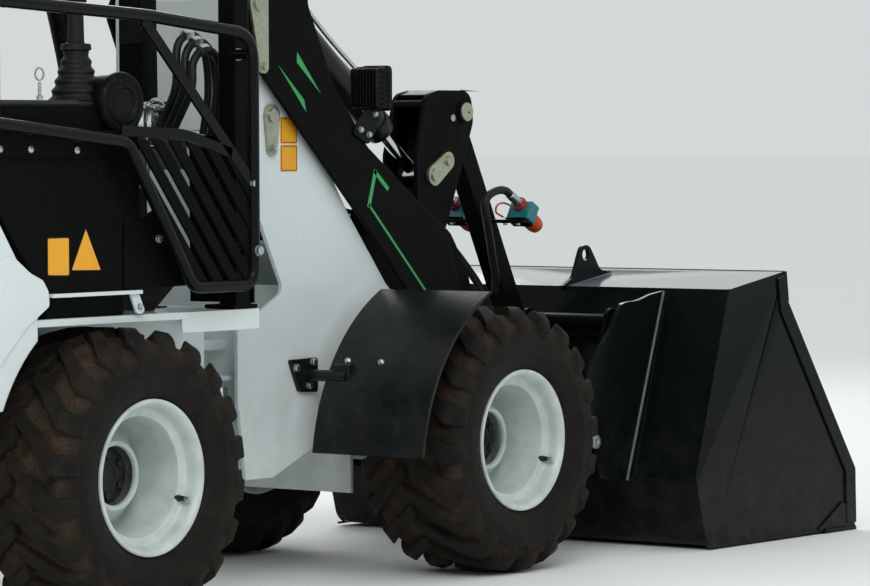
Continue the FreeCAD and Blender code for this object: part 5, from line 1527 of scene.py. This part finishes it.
@dataclass
class FrontFrame:
    """Details of the mast, its front frame and the mudguards."""

    half: float = -0.180
    radius: float = 0.403
    growth: float = 0.040
    arc_start: float = 116.0
    arc_turn: float = 1.152

    def arc(self, angle: Points) -> Points:
        """Middle radius of a mudguard sheet: radius plus growth times the square of the share of its turn."""
        return self.radius + self.growth * ((angle - math.radians(self.arc_start)) / self.arc_turn) ** 2

    def plates(self) -> None:
        """Two bare yellow plates with dark rims, one over the other on the mast's right side."""
        form = Form()
        for low, high in ((1.0375, 1.1000), (0.9715, 1.0345)):
            flat = rounded([(-0.1590, low), (-0.0970, low), (-0.0970, high), (-0.1590, high)], 0.003)
            centre = flat.mean(axis=0)
            form.plate(flat, self.half - 0.0011, self.half + 0.0006, 0.0002)
            line = centre + (flat - centre) * 0.90
            path = np.c_[line[:, 0], np.full(len(line), self.half - 0.0012), line[:, 1]]
            form.grid(tube(np.concatenate([path, path[:1]]), 0.0008, 6), wrap_v=True, slot=1)
        form.piece("mast_plates", "front_frame", [YELLOW, DARK_LINE], Edge.CRISP, "")

    def fasteners(self) -> None:
        """Bolts of the mudguard brackets, pin keepers, cross member and cable clips, on both sides."""
        form = Form()
        for sign in (1, -1):
            y = sign * (self.half - 0.0103)
            bolts(form, [(-0.1170, y, 0.505), (-0.0685, y, 0.462), (-0.0530, y, 0.5165)], (0, -sign, 0),
                  10.0)
            bolts(form, [(-0.1960, sign * (self.half - 0.0143), 1.025)], (0, -sign, 0), 7.0)
            for reach in (0.296, 0.396):
                angle = math.radians(151.4)
                out = np.array((math.cos(angle), 0, math.sin(angle)))
                spot = FRONT_AXLE + out * 0.4164 + np.array((0, -sign * reach, 0))
                bolts(form, [spot], out, 8.0)
        form.piece("front_frame_bolts", "front_frame", [BRIGHT_ZINC], Edge.CRISP, "zinc_steel")

    def mudguards(self) -> None:
        """Rolled sheets over the tyres' rear quarter: radius 403 mm plus 40 mm times the square of the way down.

        Each has a plate on the mast's side, an arm out of it, and a strap that holds the sheet.
        """
        form = Form()
        root = np.array((-0.0536, 0.4859))
        for sign in (1, -1):
            angle = np.radians(np.linspace(self.arc_start, 182, 45))[:, None]
            radius = self.arc(angle) + np.array((-0.002, 0.002, 0.002, -0.002))
            y = -sign * np.array((0.249, 0.249, 0.579, 0.579))[None]
            sheet = np.stack([np.cos(angle) * radius, y + 0 * angle, np.sin(angle) * radius], axis=-1)
            form.grid(sheet + FRONT_AXLE, wrap_v=True, ends=True)
            arm = np.array(((-0.0696, -sign * 0.189, 0.4859), (-0.0696, -sign * 0.309, 0.4859)))
            form.rod(arm, 0.014, 20)
            for outline, inner, outer in ((((-85, 39), (20, 41), (20, -42), (-49, -39)), 0.1803, 0.1903),
                                          (((-24, -30), (4, -30), (10, 30), (-24, 30)), 0.269, 0.319)):
                low, high = sorted((-sign * inner, -sign * outer))
                form.plate(root + rounded(outline, 8.0) * MM, low, high, 0.001)
        made = form.piece("mudguard_sheets", "front_frame", [GUARD_BLACK], Edge.MOULDED, "black_paint")
        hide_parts("mudguards")

    def edging(self) -> None:
        """Rolled rim of each mudguard: a bead of 5 mm along its outer arc and its ends."""
        form = Form()
        for sign in (1, -1):
            angle = np.radians(np.linspace(116.5, 181.5, 40))
            radius = self.arc(angle)
            arc = np.stack([np.cos(angle) * radius, 0 * angle, np.sin(angle) * radius], axis=1)
            path = FRONT_AXLE + arc + np.array((0, -sign * 0.5775, 0))
            form.rod(path, 0.0030, 10)
        form.piece("mudguard_rims", "front_frame", [GUARD_BLACK], Edge.ROUND, "black_paint")

    def build(self) -> None:
        """Builds the front frame's details."""
        self.plates()
        self.fasteners()
        self.mudguards()
        self.edging()


@dataclass
class LoaderBoom:
    """Stripes, hoses, work lamps and fittings of the boom."""

    outside: float = -0.210
    nose: float = -0.072
    hand: int = -1

    def stripes(self) -> None:
        """Green stripes on the boom's right plate: two slivers up by the mast and an open angled outline."""
        form = Form()
        y = self.outside
        slivers = ([(-0.1313, 1.2536), (-0.1330, 1.2290), (-0.0440, 1.1560)],
                   [(-0.2020, 1.2221), (-0.0988, 1.1121), (-0.1061, 1.1405)])
        for corners in slivers:
            form.plate(corners, y - 0.0009, y + 0.0004, 0.0001)
        line = np.array([(0.2111, 0.9283), (0.1643, 0.9676), (0.1402, 0.8881), (0.3609, 0.6756)])
        wide = (0.011, 0.012, 0.0065)
        for start, end, width in zip(line[:-1], line[1:], wide):
            run = (end - start) / np.linalg.norm(end - start)
            side = np.array((-run[1], run[0])) * width / 2
            corners = [start - run * width / 2 + side, end + run * width / 2 + side, end + run * width / 2
                       - side, start - run * width / 2 - side]
            form.plate(corners, y - 0.0009, y + 0.0004, 0.0001)
        form.piece("boom_stripes", "boom", [GREEN], Edge.CRISP, "")

    @staticmethod
    def pane(y: float, z: float, half: float, tall: float, radius: float) -> Points:
        """Rectangle with rounded corners about a middle, seen from the end."""
        return rounded([(y - half, z - tall), (y + half, z - tall), (y + half, z + tall),
                        (y - half, z + tall)], radius, 5)

    def lamp(self) -> None:
        """Work lamps: ribbed housings with glass, reflector cells and bezel, each on a foot bolted to the boom."""
        form = Form()
        x, z = BOOM_PIVOT[0] + 0.405, BOOM_PIVOT[1] - 0.196
        for sign in (1, -1):
            y = sign * (self.outside + 0.006)
            body = self.pane(y, z, 0.041, 0.052, 0.012)
            form.plate(body, 0.018, 0.052, 0.003, END_VIEW, (x, 0, 0), slot=3)
            rim = self.pane(y, z, 0.044, 0.055, 0.014)
            form.plate(rim, 0.046, 0.060, 0.002, END_VIEW, (x, 0, 0), slot=3)
            for index in range(9):
                side = y - 0.038 + 0.0095 * index
                rib = rounded([(x, z - 0.044), (x + 0.022, z - 0.050), (x + 0.022, z + 0.050),
                               (x, z + 0.046)], 0.006)
                form.plate(rib, side - 0.0016, side + 0.0016, 0.0006, slot=3)
            for index in range(7):
                level = z - 0.039 + 0.013 * index
                low, high = sorted((y + sign * self.hand * 0.040, y + sign * self.hand * 0.0455))
                fin = [(x + 0.022, low), (x + 0.044, low), (x + 0.044, high), (x + 0.022, high)]
                form.plate(fin, level - 0.0016, level + 0.0016, 0.0005, PLAN_VIEW, slot=3)
            glass = self.pane(y, z, 0.036, 0.046, 0.010)
            face = x + 0.060
            form.plate(glass, 0.0, 0.003, 0.001, END_VIEW, (face, 0, 0))
            for row in range(3):
                for column in range(3):
                    spot = (face + 0.0028, y + 0.023 * (column - 1), z + 0.028 * (row - 1))
                    form.turning([(0, 9.5), (1.6, 10), (2.0, 8), (0.8, 5), (1.2, 2.5), (2.6, TIP)], spot,
                                 (1, 0, 0), 16, slot=1)
            plane = sign * (self.outside - 0.0035)
            foot = rounded([(x + 0.004, z - 0.048), (x + 0.050, z - 0.048), (x + 0.046, z - 0.092),
                            (x + 0.006, z - 0.136), (x - 0.052, z - 0.110), (x - 0.034, z - 0.078)], 0.008)
            form.plate(foot, plane - 0.003, plane + 0.003, 0.001, slot=3)
            bolts(form, [(x + 0.006, plane - sign * 0.003, z - 0.112), (x - 0.026, plane - sign * 0.003,
                                                                        z - 0.100),
                         (x + 0.030, plane - sign * 0.003, z - 0.062)], (0, -sign, 0), 8.0, 2)
        made = form.piece("ribbed_work_lamps", "boom", [CLEAR_LENS, CHROME, BRIGHT_ZINC, PLASTIC],
                          Edge.MOULDED, "black_plastic")
        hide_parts("work_lamps")

    def hoses(self) -> None:
        """Clamped hoses along the boom's back: smooth paths from the mast down inside the side plates to the nose."""
        form = Form()
        x, z = BOOM_PIVOT
        for y in (-0.175, -0.148, 0.150, 0.176):
            path = curve([(x + 0.060, y, z + 0.050), (x + 0.160, y, z - 0.060), (x + 0.290, y, z - 0.215),
                          (x + 0.430, y, z - 0.350), (x + 0.560, y * 0.95, z - 0.440)], 8)
            form.rod(path, 0.009, 12)
            form.turning([(-2, TIP), (-2, 12), (12, 12), (14, 10.5), (34, 10.5), (34, TIP)], path[-1],
                         tuple(path[-1] - path[-3]), 6, slot=1)
        form.piece("boom_hoses", "boom", [HOSE, BRIGHT_ZINC], Edge.ROUND, "black_plastic")

    def nose_pipes(self) -> None:
        """Bolts on the nose plates, with caps on the boom's pins."""
        form = Form()
        for sign in (1, -1):
            y = sign * self.nose
            spots = [(0.5704, y, 0.8075), (BUCKET_PIVOT[0] - 0.06, y, BUCKET_PIVOT[1] + 0.02)]
            bolts(form, spots, (0, -sign, 0), 7.0)
            for spot in ((CRANK_PIVOT[0], sign * (self.nose - 0.004), CRANK_PIVOT[1]),
                         (BUCKET_PIVOT[0], sign * (self.nose - 0.026), BUCKET_PIVOT[1])):
                form.turning([(0, TIP), (0, 22), (5, 21), (6, 17), (6.5, TIP)], spot, (0, -sign, 0), 24)
        form.piece("boom_pin_caps", "boom", [ZINC], Edge.MOULDED, "zinc_steel")

    def build(self) -> None:
        """Builds the boom's details."""
        self.stripes()
        self.lamp()
        self.hoses()
        self.nose_pipes()


@dataclass
class TiltLinkage:
    """Pin heads, pipes and couplers of the tilt cylinder, bell crank and link."""

    base: tuple[float, float] = (-0.1355, 1.514)
    eye: tuple[float, float] = (0.5975, 0.956)
    top: tuple[float, float] = (0.7295, 1.115)
    half: float = 0.055

    def along(self, reach: float, y: float, rise: float) -> tuple[float, float, float]:
        """Point beside the cylinder: reach along it from its base eye, and rise square to it."""
        run = np.array(self.eye) - np.array(self.base)
        run = run / np.linalg.norm(run)
        spot = np.array(self.base) + run * reach + np.array((-run[1], run[0])) * rise
        return (float(spot[0]), y, float(spot[1]))

    def cylinder(self) -> None:
        """Gland nut, ports and feed pipes on the tilt cylinder's barrel."""
        form = Form()
        run = np.array(self.along(1.0, 0, 0)) - np.array(self.along(0.0, 0, 0))
        gland = [(0, 30), (0, 40.5), (4, 41.5), (30, 41.5), (33, 39.5), (34, 30), (40, 28), (41, 17.5),
                 (0, 17.5)]
        form.grid(turned(gland, self.along(0.700, 0, 0), run, 36), wrap_u=True, wrap_v=True)
        for reach in (0.085, 0.655):
            form.turning([(30, TIP), (30, 15), (52, 15), (52, TIP)], self.along(reach, 0, 0),
                         (-run[2], 0, run[0]), 6, slot=1)
        for side in (-0.012, 0.012):
            path = curve([self.along(0.10, side, 0.052), self.along(0.16, side, 0.060),
                          self.along(0.40, side * 1.4, 0.047), self.along(0.58, side, 0.056),
                          self.along(0.66, side, 0.052)], 8)
            form.rod(path, 0.006, 10, slot=1)
        for start, end, wide in (((0.3630, 1.1920), (0.4100, 1.1600), 12.0), ((0.3330, 1.1200),
                                                                              (0.3640, 1.0840), 8.0)):
            way = (end[0] - start[0], 0.0, end[1] - start[1])
            long = math.hypot(way[0], way[2]) / MM
            form.turning([(0, TIP), (0, wide), (long * 0.45, wide), (long * 0.5, wide * 0.8),
                          (long * 0.9, wide * 0.8), (long, wide * 0.5), (long, TIP)], (start[0], -0.046,
                                                                                       start[1]), way, 6,
                         slot=1)
        form.piece("tilt_gland_and_pipes", "tilt_barrel", [CYLINDER_BLACK, PIPE], Edge.MOULDED,
                   "zinc_steel")

    def crank_details(self) -> None:
        """Pin heads with their grease nipples on the bell crank, and its cross tube's collar."""
        form = Form()
        for sign in (1, -1):
            spot = (self.top[0], -sign * (self.half + 0.006), self.top[1])
            form.turning([(0, TIP), (0, 24), (3, 24.5), (6, 23), (7, 18), (6.2, 9), (9, 4), (15, 3),
                          (16, TIP)], spot, (0, -sign, 0), 28)
            form.turning([(-0.5, TIP), (-0.5, 31), (3, 30), (3.4, 26), (3.4, TIP)],
                         (self.top[0], -sign * self.half, self.top[1]), (0, -sign, 0), 32, slot=1)
        inside = np.array([(0, -0.043, 0), (0, 0.043, 0)]) + np.array((CRANK_PIVOT[0] + 0.035, 0,
                                                                       CRANK_PIVOT[1] + 0.375))
        form.turning([(0, TIP), (0, 9), (3, 9), (4, TIP)], (CRANK_PIVOT[0] + 0.115, -0.0555, CRANK_PIVOT[1]
                                                            + 0.340), (0, -1, 0), 16)
        form.rod(inside, 0.0165, 20, slot=1)
        form.piece("bell_crank_pins", "bell_crank", [ZINC, BLACK], Edge.MOULDED, "zinc_steel")

    def couplers(self) -> None:
        """Shelf, tilted blocks, ferrules, rings, caps with their straps, and hoses that arch from the link.

        A block is an outline in the side view turned 30 degrees nose down, carried across its width.
        """
        form = Form()
        ahead, up = np.array((0.866, -0.5)), np.array((0.5, 0.866))
        heel = np.array((0.8850, 0.8430))
        shelf = rounded([(0.846, -0.148), (0.886, -0.148), (0.886, 0.148), (0.846, 0.148)], 0.004)
        form.plate(shelf, 0.8300, 0.8385, 0.0008, PLAN_VIEW, slot=5)
        for y in (-0.105, 0.105):
            sign = math.copysign(1.0, y)
            block = np.array((heel, heel + 0.036 * ahead, heel + 0.036 * ahead + 0.050 * up,
                              heel + 0.050 * up))
            form.plate(rounded(block, 0.003), y - 0.034, y + 0.034, 0.002, slot=4)
            saddle = np.array((heel - 0.006 * up - 0.012 * ahead, heel - 0.006 * up + 0.036 * ahead,
                               heel + 0.036 * ahead, heel - 0.002 * ahead))
            form.plate(saddle, y - 0.030, y + 0.030, 0.0006, slot=5)
            way = (ahead[0], 0.0, ahead[1])
            tail = (0.9060, y, 0.8750)
            form.turning([(-58, TIP), (-58, 10), (-56, 12), (-26, 12.5), (-24, 10), (-2, 10), (0, TIP)],
                         tail, way, 24, slot=1)
            form.grid(turned([(-24, 10.2), (-24, 14), (-14, 14), (-14, 10.2)], tail, way, 6), wrap_u=True,
                      wrap_v=True, slot=1)
            form.grid(turned([(-13, 10.2), (-13, 17), (-8, 19), (-1, 18), (0, 10.2)], tail, way, 28),
                      wrap_u=True, wrap_v=True, slot=3)
            nose = (0.9290 - 0.004, y, 0.8470)
            form.turning([(0, TIP), (0, 17), (14, 17), (15, 20), (22, 20.5), (24, TIP)], nose, way, 28)
            form.turning([(18, TIP), (18, 21), (21, 22.5), (44, 22), (56, 19), (62, 12), (63, TIP)], nose,
                         way, 32, slot=2)
            loop = curve([(0.985, y, 0.838), (0.955, y + 0.046, 0.862), (0.900, y + 0.047, 0.880),
                          (0.858, y + 0.040, 0.876), (0.846, y + 0.036, 0.858), (0.868, y + 0.030, 0.845)],
                         8)
            form.rod(loop, 0.0026, 8, slot=2)
            hose = curve([(0.866, y, 0.898), (0.838, y, 0.913), (0.803, y, 0.914), (0.770, y * 0.98, 0.902),
                          (0.757, y * 0.94, 0.878), (0.778, y * 0.86, 0.836), (0.842, y * 0.55, 0.752),
                          (0.8860, sign * 0.036, 0.690), (0.9050, sign * 0.020, 0.650)], 8)
            form.rod(hose, 0.0105, 14)
            bolts(form, [(0.864, y - 0.020, 0.8300), (0.864, y + 0.020, 0.8300)], (0, 0, -1), 7.0, 1)
        made = form.piece("quick_coupler_fittings", "tilt_link", [HOSE, BRIGHT_ZINC, ORANGE, RED, TEAL,
                                                                  BLACK], Edge.MOULDED, "teal_paint")
        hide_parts("coupler_blocks")

    def build(self) -> None:
        """Builds the linkage's details."""
        self.cylinder()
        self.crank_details()
        self.couplers()


@dataclass
class GoodsBucket:
    """Weld beads, edge strips and pin of the bucket."""

    half: float = 0.600

    def beads(self) -> None:
        """Weld beads: tubes whose radius ripples by a fifth every 6 mm, along the folds and the side ribs."""
        form = Form()
        x, z = BUCKET_PIVOT
        runs = []
        for sign in (1, -1):
            y = sign * self.half
            runs.append([(x + 0.235, y - sign * 0.002, z + 0.440), (x + 0.079, y - sign * 0.002,
                                                                    z - 0.039)])
            runs.append([(x + 0.091, sign * 0.402, z - 0.02), (x + 0.228, sign * 0.402, z + 0.385)])
            runs.append([(x + 0.130, y - sign * 0.001, z - 0.2115), (x + 0.68, y - sign * 0.001,
                                                                     z - 0.2115)])
        for start, end in runs:
            length = float(np.linalg.norm(np.subtract(end, start)))
            t = np.linspace(0, 1, int(length / 0.003))
            path = np.array(start) + t[:, None] * np.subtract(end, start)
            radius = 0.0032 * (1 + 0.2 * np.sin(2 * np.pi * t * length / 0.006))
            form.rod(path, radius, 8)
        # Seams beside the hanger cheeks in the weld finish: black paint with a painted sky sheen
        for sign in (1, -1):
            seam = np.linspace((x + 0.2075, z + 0.4331), (x + 0.0401, z - 0.0431), 150)
            path = np.c_[seam[:, 0], np.full(150, sign * 0.4145), seam[:, 1]]
            ripple = 0.0052 * (1 + 0.15 * np.sin(2 * np.pi * np.arange(150) / 2.0))
            form.rod(path, ripple, 8, slot=1)
        form.piece("bucket_weld_beads", "bucket", [BUCKET_BLACK, WELD_SHEEN], Edge.ROUND, "black_paint")

    def cheeks(self) -> None:
        """Curved hanger plates behind the bucket, outside its own hangers, with the lower pin's head on each."""
        form = Form()
        x, z = BUCKET_PIVOT
        edge = curve([(0.2075, 0.4331), (0.1500, 0.4260), (0.0965, 0.4138), (0.0300, 0.4080),
                      (0.0060, 0.3900), (-0.0301, 0.3427), (-0.0780, 0.2960), (-0.1290, 0.2420),
                      (-0.1340, 0.1900), (-0.1180, 0.1200), (-0.0900, 0.0300), (-0.0600, -0.0300),
                      (0.0401, -0.0431)], 5)
        for sign in (1, -1):
            low, high = sorted((sign * 0.4020, sign * 0.4140))
            form.plate(np.array((x, z)) + edge, low, high, 0.0012)
            form.turning([(0, TIP), (0, 17), (3, 18), (8, 17), (9, 10), (7, TIP)],
                         (x - 0.1010, sign * 0.4140, z + 0.0636), (0, sign, 0), 24, slot=1)
        form.piece("bucket_hanger_cheeks", "bucket", [BUCKET_BLACK, BRIGHT_ZINC], Edge.CRISP, "black_paint")

    def strips(self) -> None:
        """Reinforcing plates with drawn rims on the bucket's sides."""
        form = Form()
        x, z = BUCKET_PIVOT
        for sign in (1, -1):
            y = sign * self.half
            low, high = sorted((y, y + sign * 0.006))
            strip = [(x + 0.4895, z + 0.470), (x + 0.505, z + 0.399), (x + 0.834, z - 0.055),
                     (x + 0.838, z - 0.200), (x + 0.790, z - 0.200), (x + 0.786, z - 0.062),
                     (x + 0.468, z + 0.376), (x + 0.455, z + 0.460)]
            form.plate(strip, low, high, 0.0015)
            corner = [(x + 0.650, z - 0.206), (x + 0.786, z - 0.206), (x + 0.786, z - 0.150),
                      (x + 0.770, z - 0.140)]
            form.plate(corner, low, high, 0.0015)
        form.piece("bucket_side_strips", "bucket", [BUCKET_BLACK], Edge.CRISP, "black_paint")

    def build(self) -> None:
        """Builds the bucket's details."""
        self.beads()
        self.cheeks()
        self.strips()


def dress_frame() -> None:
    """Gives every CAD node its finish; sheet and plate nodes also get their rounded edges."""
    painted = {
        "rear_chassis": (WHITE, 2.0, "white_paint"), "operator_floor": (WHITE, 1.5, "white_paint"),
        "rear_hood": (WHITE, 4.0, "white_paint"), "side_consoles": (TEXTURED_BLACK, 4.0, "black_paint"),
        "canopy_roof": (BLACK, 3.0, "black_paint"), "counterweight": (CAST_BLACK, 6.0, "black_paint"),
        "mast": (WHITE, 2.0, "white_paint"),
        "boom": (BLACK, 2.0, "black_paint"), "bell_crank": (BLACK, 2.0, "black_paint"),
        "tilt_link": (BLACK, 3.0, "black_paint"), "quick_coupler": (BLACK, 2.0, "black_paint"),
        "bucket": (BUCKET_BLACK, 1.5, "black_paint"), "canopy_frame": (BLACK, 4.0, "black_paint"),
        "front_axle_beam": (WHITE, 4.0, "white_paint"), "seat_base": (TEXTURED_BLACK, 5.0, "black_paint"),
    }
    for node, (finish, width, slot) in painted.items():
        soften(node, finish, width)
    plain = {"battery_pack": TEXTURED_BLACK, "control_valve": ZINC, "pedals": RUBBER, "tail_lamps": PLASTIC,
             "mast_pin_locks": ZINC, "boom_pin_locks": ZINC, "bell_crank_locks": ZINC,
             "lift_barrel": CYLINDER_BLACK, "lift_rod": CHROME, "tilt_barrel": CYLINDER_BLACK,
             "tilt_rod": CHROME, "steer_barrel": CYLINDER_BLACK, "steer_rod": CHROME,}
    for node, finish in plain.items():
        dress(node, finish)


def main() -> None:
    """Builds the machine in order, from the studio to the bucket."""
    logging.basicConfig(level=logging.INFO, format="%(message)s")
    Studio().build()
    dress_frame()
    for axle in ("front", "rear"):
        for side in Side:
            FarmWheel(axle, side).build()
    OperatorSeat().build()
    ControlLever().build()
    SteeringPost().build()
    OperatorPlace().build()
    SideGuard().build()
    RearBody().build()
    FrontFrame().build()
    LoaderBoom().build()
    TiltLinkage().build()
    GoodsBucket().build()


if __name__ == "__main__":
    main()
